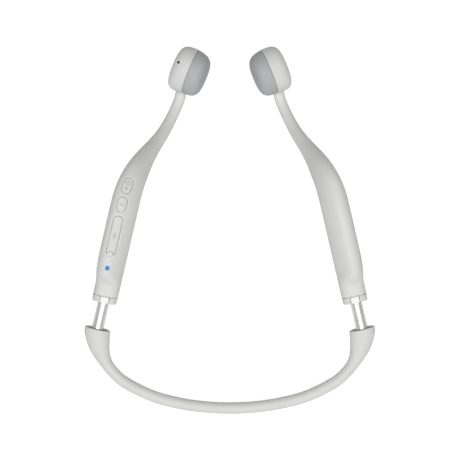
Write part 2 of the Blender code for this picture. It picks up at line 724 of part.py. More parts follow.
def button(word, at, size):
    """A silicone cap in its opening, with a flange under the shell and a foot above its switch."""
    frame = crown_frame(at, SIDES["right"])
    length, width = size[0] - 2 * GAP, size[1] - 2 * GAP
    name = f"{word}_button"
    add_body(name, "right_arm", frame.translation)
    cap = add_object(name, prism(name, stadium(length, width), -2.6, 0.05, frame), name, "silicone_grey")
    rim = stadium(length + BUTTON_FLANGE, width + BUTTON_FLANGE)
    flange = prism(f"{word}_flange", rim, -2.9, -2.3, frame)
    combine(cap, add_object(f"{word}_flange", flange, name), "UNION")
    foot = prism(f"{word}_foot", stadium(2.2, 1.8), -BUTTON_FOOT, -2.7, frame)
    combine(cap, add_object(f"{word}_foot", foot, name), "UNION")
    tilt = abs(frame.col[2].y)
    bottom = BOARD_TOP + GAP + 2.0 * tilt - crown(at).z
    base = prism(f"{word}_switch", stadium(3.4, 2.6), bottom, -BUTTON_FOOT - BUTTON_TRAVEL - 0.1, frame)
    add_object(f"{word}_switch", base, "right_arm", "plated_steel")


def charge_cover():
    """The silicone lid over the charging port: held at its upper end, with a nail scoop at its lower end."""
    frame = crown_frame(COVER_AT, SIDES["right"])
    length, width = COVER_SIZE[0] - 2 * GAP, COVER_SIZE[1] - 2 * GAP
    hinge = COVER_HINGE - COVER_AT
    add_body("charge_cover", "right_arm", frame @ Vector((hinge, 0, 0)))
    radius = width / 2
    split = GAP / 2
    lid, anchor = [], []
    for x, y in stadium(length, width):
        (anchor if x > 0 else lid).append((x, y))
    lid = [(hinge - split, -radius)] + [(hinge - split, radius)] + lid
    anchor = [(hinge + split, radius)] + [(hinge + split, -radius)] + anchor
    skin = prism("charge_cover", lid, -1.1, 0.0, frame)
    strip = add_object("charge_cover", skin, "charge_cover", "silicone_grey")
    plug = prism("cover_plug", stadium(6.6, 2.2), -1.8, -0.9, frame)
    combine(strip, add_object("cover_plug", plug, "charge_cover"), "UNION")
    scoop_at = Matrix.Translation((-length / 2 + 0.7, 0, 0))
    scoop = rod("nail_scoop", 1.4, -3.0, 3.0, frame @ scoop_at)
    combine(strip, add_object("nail_scoop", scoop, "charge_cover"), "DIFFERENCE")
    holder = prism("charge_cover_anchor", anchor, -2.0, 0.0, frame)
    add_object("charge_cover_anchor", holder, "right_arm", "silicone_grey")


def charging_port():
    """The upright socket under the lid: a steel sleeve, its black tongue and the frame that seals it."""
    frame = crown_frame(COVER_AT, SIDES["right"])
    rim = prism("port_frame", stadium(14.0, 5.2), -3.2, -2.4, frame @ Matrix.Translation((-1.6, 0, 0)))
    seal = add_object("port_frame", rim, "right_arm", "chassis_black")
    window = prism("port_window", stadium(9.6, 3.9), -4.0, -1.0, frame)
    combine(seal, add_object("port_window", window, "right_arm"), "DIFFERENCE")
    floor = BOARD_TOP + GAP - crown(COVER_AT).z
    shell = prism("usb_port", stadium(8.9, 3.3), floor, -2.1, frame)
    port = add_object("usb_port", shell, "right_arm", "plated_steel")
    mouth = prism("port_mouth", stadium(8.3, 2.7), floor + 0.4, -1.0, frame)
    combine(port, add_object("port_mouth", mouth, "right_arm"), "DIFFERENCE")
    tongue = block("usb_tongue", (-3.3, -0.35, floor + 0.7), (3.3, 0.35, -2.6), frame)
    add_object("usb_tongue", tongue, "right_arm", "chassis_black")


def electronics():
    """The board under the controls, its radio module and the tray that carries them."""
    arm = arm_frame(SIDES["right"])
    outline = [(-3.2, 33.0), (4.2, 33.0), (4.2, 62.0), (2.4, 68.4), (-3.2, 68.4)]
    board = prism("main_board", outline, BOARD_BOTTOM, BOARD_TOP, arm)
    add_object("main_board", board, "right_arm", "board_green")
    radio = block("radio_module", (-2.6, 50.5, -2.1), (3.4, 60.5, BOARD_BOTTOM - GAP), arm, round_by=0.2)
    add_object("radio_module", radio, "right_arm", "plated_steel")
    tray = block("board_tray", (-1.8, 34.0, -4.0), (4.0, 65.0, -3.0), arm)
    tray = add_object("board_tray", tray, "right_arm", "chassis_black")
    for number, along in enumerate((34.5, 62.5)):
        low, high = (-1.6, along, -3.5), (3.8, along + 2.0, BOARD_BOTTOM - GAP)
        post = block(f"tray_post_{number}", low, high, arm)
        combine(tray, add_object(f"tray_post_{number}", post, "right_arm"), "UNION")
    led = crown_frame(LED_AT, SIDES["right"])
    add_object("status_led_lens", rod("status_led_lens", LED_R, -1.7, 0.0, led), "right_arm", "led_blue")
    flex = block("status_led_board", (-1.4, -1.3, -3.0), (5.4, 1.3, -2.4), led)
    add_object("status_led_board", flex, "right_arm", "board_green")


def microphone():
    """A hole in the right pod's shell, a mesh in it and the capsule behind."""
    side = SIDES["right"]
    frame = pod_frame(side)
    depth, front = MIC_AT
    share = (1 - abs(depth / POD_HALF[0]) ** POD_POWER) ** (1 / POD_POWER)
    top = POD_HALF[2] * share
    place = frame @ Matrix.Translation((depth, front, 0))
    hole = add_object("mic_hole", rod("mic_hole", MIC_R, 5.0, 12.0, place, sides=16), "right_arm")
    combine(bpy.data.objects["right_pod_shell"], hole, "DIFFERENCE")
    mesh = rod("mic_mesh", MIC_R - GAP, top - 1.2, top - 0.7, place, sides=12)
    add_object("mic_mesh", mesh, "right_arm", "mesh_black")
    capsule = block("microphone", (-0.05, -1.6, 5.65), (1.4, 1.6, 6.7), place)
    add_object("microphone", capsule, "right_arm", "plated_steel")


def power_cell():
    """The pouch battery in the left housing and its protection board."""
    arm = arm_frame(SIDES["left"])
    cell = block("battery", (-2.9, 34.5, -3.8), (4.5, 62.5, 3.4), arm, round_by=0.8)
    add_object("battery", cell, "left_arm", "battery_foil")
    board = block("battery_board", (-2.4, 63.4, -3.2), (2.6, 64.2, 2.4), arm)
    add_object("battery_board", board, "left_arm", "board_green")


# ---------------------------------------------------------------------------------------- assembly


def stand_on_table():
    """Leans the plane and sets the whole on z = 0, with the middle of its outline at the origin."""
    root = BODIES["band"][0]
    root.rotation_euler = (PLANE_LEAN, 0, 0)
    bpy.context.view_layer.update()
    graph = bpy.context.evaluated_depsgraph_get()
    low, high = Vector((math.inf,) * 3), Vector((-math.inf,) * 3)
    for obj in PARTS.objects:
        if obj.type == "EMPTY":
            continue
        evaluated = obj.evaluated_get(graph)
        mesh = evaluated.to_mesh()
        for vertex in mesh.vertices:
            point = evaluated.matrix_world @ vertex.co
            low = Vector(map(min, low, point))
            high = Vector(map(max, high, point))
        evaluated.to_mesh_clear()
    root.location = (-(low.x + high.x) / 2, -(low.y + high.y) / 2, -low.z)


def build():
    add_body("band", None, Vector((0, 0, 0)))
    neckband_cover()
    for side_word, side in SIDES.items():
        add_body(f"{side_word}_sleeve", "band", Vector((side * KNUCKLE.x, KNUCKLE.y, 0)))
        add_body(f"{side_word}_arm", f"{side_word}_sleeve", Vector((side * MOUTH.x, MOUTH.y, 0)))
        add_body(f"{side_word}_driver", f"{side_word}_arm", transducer_frame(side).translation)
        band_sleeve(side, side_word)
        rod_seal(side, side_word)
        slide_rod(side, side_word)
        end_cap(side, side_word)
        slide_guide(side, side_word)
        face = housing_shell(side, side_word, "face_shell", 1)
        housing_shell(side, side_word, "back_shell", -1)
        ear_hook(side, side_word)
        pod(side, side_word)
        transducer(side, side_word)
        if side_word == "right":
            cut_controls(face)
    wire("band_spring_wire", wire_path(-0.75, 3.0), 0.45, "band", "spring_alloy")
    wire("band_cable", wire_path(0.75, 32.5), 0.5, "band", "cable_jacket")
    button("power", POWER_AT, POWER_SIZE)
    button("volume_down", VOLUME_AT, VOLUME_SIZE)
    charge_cover()
    charging_port()
    electronics()
    microphone()
    power_cell()
    stand_on_table()


build()
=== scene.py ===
import json
import math
from bisect import bisect_right

import bmesh
import bpy
import numpy as np
from mathutils import Matrix, Vector
from mathutils.bvhtree import BVHTree


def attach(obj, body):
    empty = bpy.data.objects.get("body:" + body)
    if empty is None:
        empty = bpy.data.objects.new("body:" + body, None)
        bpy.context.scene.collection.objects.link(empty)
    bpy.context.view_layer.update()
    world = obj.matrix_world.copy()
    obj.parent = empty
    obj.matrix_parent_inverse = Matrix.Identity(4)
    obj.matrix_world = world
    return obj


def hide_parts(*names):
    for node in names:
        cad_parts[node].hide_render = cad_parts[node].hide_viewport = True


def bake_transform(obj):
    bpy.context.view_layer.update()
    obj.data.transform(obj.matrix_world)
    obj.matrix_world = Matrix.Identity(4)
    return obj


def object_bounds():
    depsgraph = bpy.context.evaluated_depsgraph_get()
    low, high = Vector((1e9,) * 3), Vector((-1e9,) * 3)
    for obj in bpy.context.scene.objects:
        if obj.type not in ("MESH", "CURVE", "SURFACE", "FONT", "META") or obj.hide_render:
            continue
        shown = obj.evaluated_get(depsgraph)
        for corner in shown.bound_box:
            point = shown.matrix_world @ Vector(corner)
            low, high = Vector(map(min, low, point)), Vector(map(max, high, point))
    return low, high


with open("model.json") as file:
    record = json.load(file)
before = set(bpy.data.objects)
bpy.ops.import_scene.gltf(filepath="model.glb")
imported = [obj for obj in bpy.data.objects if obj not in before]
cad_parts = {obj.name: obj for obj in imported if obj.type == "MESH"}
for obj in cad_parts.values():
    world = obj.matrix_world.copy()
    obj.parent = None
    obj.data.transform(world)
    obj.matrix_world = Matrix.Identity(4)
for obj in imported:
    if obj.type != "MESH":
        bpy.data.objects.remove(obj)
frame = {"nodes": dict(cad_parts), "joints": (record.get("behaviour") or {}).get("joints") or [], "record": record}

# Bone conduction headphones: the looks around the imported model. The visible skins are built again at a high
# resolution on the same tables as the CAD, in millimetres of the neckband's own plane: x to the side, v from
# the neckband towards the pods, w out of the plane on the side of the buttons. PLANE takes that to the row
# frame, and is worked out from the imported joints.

cad_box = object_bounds()

MM = 0.001
GAP = 0.3
SIDES = {"left": 1, "right": -1}
RIGHT = SIDES["right"]

# Neckband: x, v, width, height, from the middle to the mouth of the sleeve.
BAND_LINE = [
    (0.0, -1.44, 5.2, 5.4),
    (11.25, -0.92, 5.2, 5.4),
    (22.8, 0.76, 5.2, 5.4),
    (34.9, 4.05, 5.2, 5.4),
    (46.9, 9.97, 5.2, 5.4),
    (52.2, 14.36, 5.1, 5.3),
    (56.3, 19.8, 5.8, 5.6),
    (58.9, 26.2, 9.0, 7.2),
    (60.0, 32.0, 11.5, 9.1),
    (59.75, 35.08, 11.7, 9.6),
]
KNUCKLE_ROW = 5
BAND_POWERS = (2.0, 2.0)
SLEEVE_WALL = 1.0
SLEEVE_FLOOR = 5.2
LIP_REACH = 0.4
BAND_SIDES = 72
# A length to each side of the band's knuckle; bend_with_band works out the band's points there but bends nothing.
FLEX_REACH = 8.0

ROD_LEAN = math.radians(13.1)
MOUTH = Vector((59.75, 35.08, 0.0))
ROD_R = 2.65
ROD_BORE_R = 1.7
ROD_BOTTOM = -4.2
ROD_TOP = 20.0

# Housing and ear hook: along, out, w, width, height, and how far the crown stands outwards of the middle.
ARM_LINE = [
    (12.4, -0.20, 0.0, 11.1, 9.5, 0.5),
    (15.6, -0.17, 0.0, 11.3, 9.6, 0.5),
    (19.0, -0.16, 0.0, 11.3, 9.6, 0.55),
    (20.9, -0.15, 0.0, 11.38, 9.9, 0.6),
    (24.0, -0.02, 0.0, 11.7, 13.3, 0.8),
    (26.6, 0.22, 0.0, 12.25, 14.3, 0.95),
    (30.6, 0.38, 0.0, 12.6, 14.4, 1.0),
    (34.0, 0.43, 0.0, 12.7, 14.4, 1.0),
    (45.0, 0.41, 0.0, 12.7, 14.4, 1.0),
    (55.5, 0.36, -0.05, 12.7, 14.3, 1.0),
    (62.1, 0.27, -0.8, 12.5, 14.0, 1.0),
    (67.7, -0.3, -2.3, 11.9, 13.4, 0.95),
    (73.3, -1.4, -5.6, 10.8, 12.2, 0.85),
    (79.2, -3.02, -11.2, 8.9, 10.2, 0.6),
    (85.3, -5.28, -17.2, 7.1, 7.8, 0.3),
    (91.6, -7.72, -22.3, 6.0, 6.4, 0.1),
    (97.8, -9.46, -26.0, 5.4, 5.7, 0.0),
    (103.9, -10.79, -28.4, 5.2, 5.5, 0.0),
    (109.5, -11.62, -29.4, 5.2, 5.4, 0.0),
    (112.8, -11.57, -28.5, 5.0, 5.2, 0.0),
    (115.4, -10.96, -26.6, 4.75, 5.0, 0.0),
]
ARM_POWER = 2.8
FLANK_POWER = 1.55
HOOK_POWER = 2.3
ARM_SIDES = 104
CAP_BOTTOM, CAP_TOP = 12.4, 15.3
HOUSING_BOTTOM = 15.6
HOUSING_TOP = 73.0
KEY_INNER, KEY_OUTER = -2.4, 1.5
KEY_LOW = 2.4
PARTING_DEPTH = 0.13
EDGE_R = 0.22
# Along the hook: its skin is free of the pod up to HOOK_FREE and follows the table up to HOOK_LAST.
HOOK_FREE, HOOK_LAST = 103.5, 114.4
FILLET = 2.4

# Pod: middle in arm directions, lean against the rod, how far its top tilts outwards, and half sizes: towards
# the head, to the front and in height.
POD_MIDDLE = Vector((-13.83, 122.95, -20.7))
POD_LEAN = math.radians(9.4)
POD_TILT = math.radians(4.6)
POD_HALF = np.array((8.0, 10.6, 10.0))
POD_POWER = 3.9
POD_OVAL_POWER = 2.2
SEAM = 0.45
SEAM_GAP = 0.16
FRONT_CUT = 0.13
REAR_GROW = 0.09

# Controls on the crown of the right housing.
POWER_AT, POWER_SIZE = 64.65, (7.8, 4.7)
VOLUME_AT, VOLUME_SIZE = 57.05, (7.5, 4.7)
COVER_AT, COVER_SIZE = 43.25, (18.4, 4.6)
LED_AT, LED_R = 28.46, 0.8
MIC_AT = (-5.25, 1.5)
MIC_R = 0.6
SCOOP_R, SCOOP_DEPTH = 1.35, 0.16
# A rounded lip of an opening: how far out from the opening's wall, and how far above the crown.
LIP = [(0.30, 0.0), (0.24, -0.004), (0.17, -0.02), (0.10, -0.055)]
LIP += [(0.05, -0.10), (0.015, -0.17), (0.0, -0.25)]


# ---------------------------------------- lines and sections


def smooth(rows, key):
    """The rest of a table's row at a value of its first column, on a smooth curve through the rows."""
    last = len(rows) - 1
    low = min(max(bisect_right([row[0] for row in rows], key) - 1, 0), last - 1)
    span = rows[low + 1][0] - rows[low][0]
    t = (key - rows[low][0]) / span

    def slope(row, column):
        before, after = rows[max(row - 1, 0)], rows[min(row + 1, last)]
        return (after[column] - before[column]) / (after[0] - before[0])

    found = []
    for column in range(1, len(rows[0])):
        value = rows[low][column] * (2 * t**3 - 3 * t**2 + 1)
        value += rows[low + 1][column] * (3 * t**2 - 2 * t**3)
        value += slope(low, column) * span * (t**3 - 2 * t**2 + t)
        value += slope(low + 1, column) * span * (t**3 - t**2)
        found.append(value)
    return found


def even(outline, count):
    """A closed outline with count points at equal steps along it, from its first point."""
    closed = np.vstack([outline, outline[:1]])
    lengths = np.concatenate([[0], np.cumsum(np.linalg.norm(np.diff(closed, axis=0), axis=1))])
    places = np.linspace(0, lengths[-1], count, endpoint=False)
    return np.column_stack([np.interp(places, lengths, closed[:, axis]) for axis in range(closed.shape[1])])


def oval(outer, inner, half, powers, count):
    """An oval that reaches outer in +u, inner in -u and half in +h and -h, with evenly spaced points."""
    angle = np.linspace(0, math.tau, 720, endpoint=False)
    cosine, sine = np.cos(angle), np.sin(angle)
    power = np.where(cosine > 0, *powers)
    u = np.sign(cosine) * np.abs(cosine) ** (2 / power) * np.where(cosine > 0, outer, inner)
    h = np.sign(sine) * np.abs(sine) ** (2 / power) * half
    return even(np.column_stack([u, h]), count)


def stadium(length, width, count=160):
    """The outline of a slot with round ends, along the first axis, with points paired across that axis."""
    radius = width / 2
    straight = max(length - width, 0.0)
    arc = math.pi * radius
    outline = []
    total = 2 * (arc + straight)
    for step in range(count):
        place = (step + 0.5) / count * total
        half, flip = (place, 1) if place < total / 2 else (place - total / 2, -1)
        if half < arc / 2:
            angle = half / radius
            x, y = straight / 2 + radius * math.cos(angle), radius * math.sin(angle)
        elif half < arc / 2 + straight:
            x, y = straight / 2 - (half - arc / 2), radius
        else:
            angle = math.pi / 2 + (half - arc / 2 - straight) / radius
            x, y = -straight / 2 + radius * math.cos(angle), radius * math.sin(angle)
        outline.append((flip * x, flip * y))
    return outline


def round_outline(radius, count=64):
    angles = np.linspace(0, math.tau, count, endpoint=False)
    return [(radius * math.cos(a), radius * math.sin(a)) for a in angles]


def level_ring(outline, z):
    return [(x, y, z) for x, y in outline]


def quarter(radius, steps=5):
    """Points of a rounded edge: how far the section has shrunk, and how far it is past the edge's start."""
    angles = [math.pi / 2 * step / steps for step in range(1, steps + 1)]
    return [(radius * (1 - math.cos(a)), radius * math.sin(a)) for a in angles]


# ---------------------------------------- frames


def plane_matrix():
    """Millimetres of the neckband's plane to the row frame."""
    joint = next(j for j in frame["joints"] if j["name"] == "left_band_flex")
    normal = -Vector(joint["axis"]).normalized()
    side = Vector((1, 0, 0))
    up = normal.cross(side).normalized()
    knuckle = BAND_LINE[KNUCKLE_ROW]
    origin = Vector(joint["pos_m"]) - (side * knuckle[0] + up * knuckle[1]) * MM
    turn = Matrix((side, up, normal)).transposed().to_4x4()
    return Matrix.Translation(origin) @ turn @ Matrix.Scale(MM, 4)


PLANE = plane_matrix()


def arm_frame(side):
    """Columns: out, along and w of an arm, from the middle of its sleeve's mouth."""
    out = Vector((side * math.cos(ROD_LEAN), math.sin(ROD_LEAN), 0))
    along = Vector((-side * math.sin(ROD_LEAN), math.cos(ROD_LEAN), 0))
    origin = Vector((side * MOUTH.x, MOUTH.y, 0))
    return Matrix.Translation(origin) @ Matrix((out, along, Vector((0, 0, 1)))).transposed().to_4x4()


def axis_frame(origin, direction, across):
    """A right-handed frame whose third axis is direction and whose first is close to across."""
    third = direction.normalized()
    second = third.cross(across).normalized()
    first = second.cross(third)
    return Matrix.Translation(origin) @ Matrix((first, second, third)).transposed().to_4x4()


def rod_frame(side):
    """The third axis runs up the rod from the sleeve's mouth."""
    arm = arm_frame(side)
    return axis_frame(arm.translation, arm.col[1].xyz, arm.col[0].xyz)


def pod_local():
    """Columns: towards the head, towards the front, and height, from the pod's middle, in arm directions."""
    level = Vector((-math.cos(POD_LEAN), -math.sin(POD_LEAN), 0))
    front = Vector((-math.sin(POD_LEAN), math.cos(POD_LEAN), 0))
    up = Vector((0, 0, 1))
    head = level * math.cos(POD_TILT) + up * math.sin(POD_TILT)
    height = up * math.cos(POD_TILT) - level * math.sin(POD_TILT)
    return Matrix.Translation(POD_MIDDLE) @ Matrix((head, front, height)).transposed().to_4x4()


def arm_station(along):
    """Middle, u (across, outwards), h (towards the crown) and section of the arm, in arm directions."""
    out, height_at, width, height, lean = smooth(ARM_LINE, along)
    before, after = smooth(ARM_LINE, along - 0.5), smooth(ARM_LINE, along + 0.5)
    tangent = Vector((after[0] - before[0], 1.0, after[1] - before[1])).normalized()
    u = Vector((tangent.y, -tangent.x, 0)).normalized()
    h = u.cross(tangent)
    middle = Vector((out, along, height_at)) + u * lean
    return middle, u, h, (width / 2 - lean, width / 2 + lean, height / 2)


def crown_frame(along, side, reach=3.0):
    """A frame on the housing's crown: along, across and outwards through the surface."""

    def crown(place):
        middle, _, h, (_, _, half) = arm_station(place)
        return middle + h * half

    direction = (crown(along + reach) - crown(along - reach)).normalized()
    across = Vector((1, 0, 0))
    normal = across.cross(direction).normalized()
    across = direction.cross(normal)
    local = Matrix.Translation(crown(along)) @ Matrix((direction, across, normal)).transposed().to_4x4()
    return arm_frame(side) @ local


def apply_matrix(matrix, points):
    points = np.asarray(points, float)
    matrix = np.array(matrix)
    return points @ matrix[:3, :3].T + matrix[:3, 3]


# ---------------------------------------- meshes


def new_object(name, vertices, faces, body=None, slot=None, sharp=50.0):
    """A mesh piece whose points are in the row frame."""
    mesh = bpy.data.meshes.new(name)
    mesh.from_pydata([tuple(v) for v in vertices], [], faces)
    work = bmesh.new()
    work.from_mesh(mesh)
    bmesh.ops.remove_doubles(work, verts=work.verts, dist=1e-7)
    bmesh.ops.recalc_face_normals(work, faces=work.faces)
    work.to_mesh(mesh)
    work.free()
    obj = bpy.data.objects.new(name, mesh)
    bpy.context.scene.collection.objects.link(obj)
    dress(obj, body, slot, sharp)
    return obj


def dress(obj, body=None, slot=None, sharp=50.0):
    """Shading, slot with its material, and body of a finished mesh. sharp is in degrees."""
    obj.data.shade_smooth()
    obj.data.set_sharp_from_angle(angle=math.radians(sharp))
    if slot:
        obj.data.materials.clear()
        obj.data.materials.append(MATERIALS[slot])
    if body:
        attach(obj, body)


def between_rows(rows, closed=False):
    """Quads between neighbouring rows of equal count and, where closed, from the last row to the first."""
    count = len(rows[0])
    faces = []
    for row in range(len(rows) if closed else len(rows) - 1):
        a, b = row * count, (row + 1) % len(rows) * count
        for step in range(count):
            following = (step + 1) % count
            faces.append((a + step, a + following, b + following, b + step))
    return faces


def over_rows(name, rows, faces, matrix, **dressing):
    """A piece over rows of points in millimetres."""
    points = np.vstack([np.asarray(row, float) for row in rows])
    return new_object(name, apply_matrix(matrix, points), faces, **dressing)


def loft(name, rings, matrix, **dressing):
    """A closed piece over rings in millimetres, with a face over the first ring and over the last."""
    count, total = len(rings[0]), len(rings) * len(rings[0])
    ends = [tuple(range(count)), tuple(range(total - count, total))]
    return over_rows(name, rings, ends + between_rows(rings), matrix, **dressing)


def turned(name, profile, matrix, steps=96, **dressing):
    """A closed ring turned about the third axis. The closed profile is (radius, height)."""
    angles = np.linspace(0, math.tau, steps, endpoint=False)
    points, count = [], len(profile)
    for angle in angles:
        points += [(r * math.cos(angle), r * math.sin(angle), z) for r, z in profile]
    faces = []
    for step in range(steps):
        a, b = step * count, (step + 1) % steps * count
        for row in range(count):
            following = (row + 1) % count
            faces.append((a + row, b + row, b + following, a + following))
    return new_object(name, apply_matrix(matrix, points), faces, **dressing)


def cutter(rings, matrix):
    """A closed mesh that is used up by a cut."""
    return loft("cutter", rings, matrix)


def prism_rings(outline, bottom, top):
    return [level_ring(outline, z) for z in (bottom, top)]


def cut(obj, *tools, operation="DIFFERENCE"):
    """Cuts or joins closed meshes for good, and removes the tools."""
    for tool in tools:
        modifier = obj.modifiers.new("cut", "BOOLEAN")
        modifier.operation = operation
        modifier.solver = "EXACT"
        modifier.object = tool
    bpy.context.view_layer.update()
    evaluated = obj.evaluated_get(bpy.context.evaluated_depsgraph_get())
    mesh = bpy.data.meshes.new_from_object(evaluated)
    obj.modifiers.clear()
    obj.data = mesh
    for tool in tools:
        bpy.data.objects.remove(tool, do_unlink=True)
    return obj


def join(obj, *others):
    """Adds the others' meshes to obj's and removes them."""
    work = bmesh.new()
    for source in (obj, *others):
        work.from_mesh(source.data)
    work.to_mesh(obj.data)
    work.free()
    for other in others:
        bpy.data.objects.remove(other, do_unlink=True)
    return obj


# ---------------------------------------- materials


class Nodes:
    """A small helper that adds nodes to a material and links them."""

    def __init__(self, name):
        self.material = bpy.data.materials.new(name)
        self.material.use_nodes = True
        self.tree = self.material.node_tree
        self.shader = self.tree.nodes["Principled BSDF"]
        self.place = self.add("ShaderNodeTexCoord").outputs["Object"]

    def add(self, kind, **values):
        node = self.tree.nodes.new(kind)
        for key, value in values.items():
            setattr(node, key, value)
        return node

    def link(self, source, target):
        self.tree.links.new(source, target)

    def set(self, name, value):
        self.shader.inputs[name].default_value = value

    def base(self, colour):
        self.link(colour, self.shader.inputs["Base Color"])

    def rough(self, size, low, high):
        """Roughness from low to high in patches of about this size in metres."""
        self.link(self.spread(self.noise(size), low, high), self.shader.inputs["Roughness"])

    def noise(self, size, detail=2.0):
        """Noise whose features have about this size in metres."""
        mapping = self.add("ShaderNodeMapping")
        mapping.inputs["Scale"].default_value = [1 / size] * 3
        self.link(self.place, mapping.inputs["Vector"])
        noise = self.add("ShaderNodeTexNoise")
        noise.inputs["Scale"].default_value = 1.0
        noise.inputs["Detail"].default_value = detail
        self.link(mapping.outputs["Vector"], noise.inputs["Vector"])
        return noise.outputs["Fac"]

    def spread(self, source, low, high):
        """The source, from 0.3 to 0.7, as low to high."""
        node = self.add("ShaderNodeMapRange")
        node.inputs["From Min"].default_value = 0.3
        node.inputs["From Max"].default_value = 0.7
        node.inputs["To Min"].default_value = low
        node.inputs["To Max"].default_value = high
        self.link(source, node.inputs["Value"])
        return node.outputs["Result"]

    def mix(self, share, first, second):
        """A mix of two colours, each a tuple or an output."""
        node = self.add("ShaderNodeMix", data_type="RGBA")
        self.link(share, node.inputs["Factor"])
        for socket, value in ((node.inputs["A"], first), (node.inputs["B"], second)):
            if isinstance(value, tuple):
                socket.default_value = (*value, 1.0)
            else:
                self.link(value, socket)
        return node.outputs["Result"]

    def bump(self, *layers):
        """Each layer is (height output, depth in metres)."""
        before = None
        for height, depth in layers:
            node = self.add("ShaderNodeBump")
            node.inputs["Strength"].default_value = 1.0
            node.inputs["Distance"].default_value = depth
            self.link(height, node.inputs["Height"])
            if before:
                self.link(before, node.inputs["Normal"])
            before = node.outputs["Normal"]
        self.link(before, self.shader.inputs["Normal"])


def tone(colour, factor):
    return tuple(min(channel * factor, 1.0) for channel in colour)


def moulded(name, colour, roughness, grain=0.00016, depth=0.0000035, mottle=0.02, marked=None, specular=0.4):
    """Moulded plastic or silicone: matt grain, slight clouding and, where asked, marks and a painted glow halo."""
    nodes = Nodes(name)
    cloud = nodes.spread(nodes.noise(0.009, 3.0), 0.0, 1.0)
    base = nodes.mix(cloud, tone(colour, 1 - mottle), tone(colour, 1 + mottle))
    if marked:
        attribute = nodes.add("ShaderNodeAttribute", attribute_name="marked")
        base = nodes.mix(attribute.outputs["Fac"], base, marked)
        # Painted glow: where lit is set, the indicator's light is painted into the base colour.
        attribute = nodes.add("ShaderNodeAttribute", attribute_name="lit")
        base = nodes.mix(attribute.outputs["Fac"], base, HALO_COLOUR)
    nodes.base(base)
    fine = nodes.noise(grain)
    nodes.link(nodes.spread(fine, roughness - 0.05, roughness + 0.05), nodes.shader.inputs["Roughness"])
    nodes.bump((fine, depth), (nodes.noise(grain * 4, 1.0), depth * 1.5))
    nodes.set("Specular IOR Level", specular)
    return nodes.material


def metal(name, colour, roughness, size=0.0002, depth=0.000001, wear=0.06, metallic=1.0):
    """Metal with a fine grain of this size in metres in its finish."""
    nodes = Nodes(name)
    grain = nodes.noise(size)
    cloud = nodes.spread(nodes.noise(0.004), 0.0, 1.0)
    nodes.base(nodes.mix(cloud, tone(colour, 0.97), tone(colour, 1.03)))
    nodes.set("Metallic", metallic)
    nodes.link(nodes.spread(grain, roughness - wear, roughness + wear), nodes.shader.inputs["Roughness"])
    nodes.bump((grain, depth))
    return nodes.material


def board_material():
    """Solder mask over copper traces."""
    nodes = Nodes("board_green")
    brick = nodes.add("ShaderNodeTexBrick")
    brick.inputs["Scale"].default_value = 420.0
    brick.inputs["Mortar Size"].default_value = 0.03
    nodes.link(nodes.place, brick.inputs["Vector"])
    nodes.base(nodes.mix(brick.outputs["Fac"], (0.015, 0.12, 0.05), (0.05, 0.26, 0.12)))
    nodes.rough(0.002, 0.3, 0.42)
    nodes.bump((brick.outputs["Fac"], 0.00003))
    nodes.set("Coat Weight", 0.4)
    return nodes.material


def coil_material():
    """Enamelled copper windings, laid side by side."""
    nodes = Nodes("coil_copper")
    wave = nodes.add("ShaderNodeTexWave", bands_direction="X")
    wave.inputs["Scale"].default_value = 1600.0
    wave.inputs["Distortion"].default_value = 0.4
    nodes.link(nodes.place, wave.inputs["Vector"])
    nodes.base(nodes.mix(wave.outputs["Fac"], (0.35, 0.12, 0.04), (0.80, 0.38, 0.18)))
    nodes.set("Metallic", 1.0)
    nodes.rough(0.0005, 0.28, 0.42)
    nodes.bump((wave.outputs["Fac"], 0.00004))
    return nodes.material


def foil_material():
    """Crinkled laminate foil of a pouch cell."""
    nodes = Nodes("battery_foil")
    creases = nodes.noise(0.0035, 4.0)
    nodes.base(nodes.mix(nodes.spread(creases, 0.0, 1.0), (0.62, 0.63, 0.65), (0.78, 0.79, 0.81)))
    nodes.set("Metallic", 0.75)
    nodes.rough(0.0008, 0.26, 0.4)
    nodes.bump((creases, 0.00018))
    return nodes.material


def led_material():
    """A blue indicator: a lit middle behind a clear dome."""
    nodes = Nodes("led_blue")
    cloud = nodes.spread(nodes.noise(0.0006), 0.0, 1.0)
    colour = nodes.mix(cloud, (0.003, 0.180, 0.480), (0.006, 0.220, 0.550))
    nodes.base(colour)
    nodes.link(colour, nodes.shader.inputs["Emission Color"])
    nodes.set("Emission Strength", 0.25)
    nodes.rough(0.0002, 0.45, 0.55)
    nodes.set("Specular IOR Level", 0.25)
    return nodes.material


def mesh_material():
    """A woven steel mesh behind the microphone's hole."""
    nodes = Nodes("mesh_black")
    checker = nodes.add("ShaderNodeTexChecker")
    checker.inputs["Scale"].default_value = 12000.0
    nodes.link(nodes.place, checker.inputs["Vector"])
    nodes.base(nodes.mix(checker.outputs["Fac"], (0.004, 0.004, 0.004), (0.03, 0.03, 0.03)))
    nodes.rough(0.0002, 0.5, 0.7)
    nodes.bump((checker.outputs["Fac"], 0.00002))
    return nodes.material


SHELL_COLOUR = (0.555, 0.556, 0.543)
PAD_COLOUR = (0.345, 0.352, 0.358)
MARK_COLOUR = (0.30, 0.30, 0.29)
# HALO_COLOUR is the painted glow of the indicator's light on the housing round it.
HALO_COLOUR = (0.36, 0.52, 0.66)

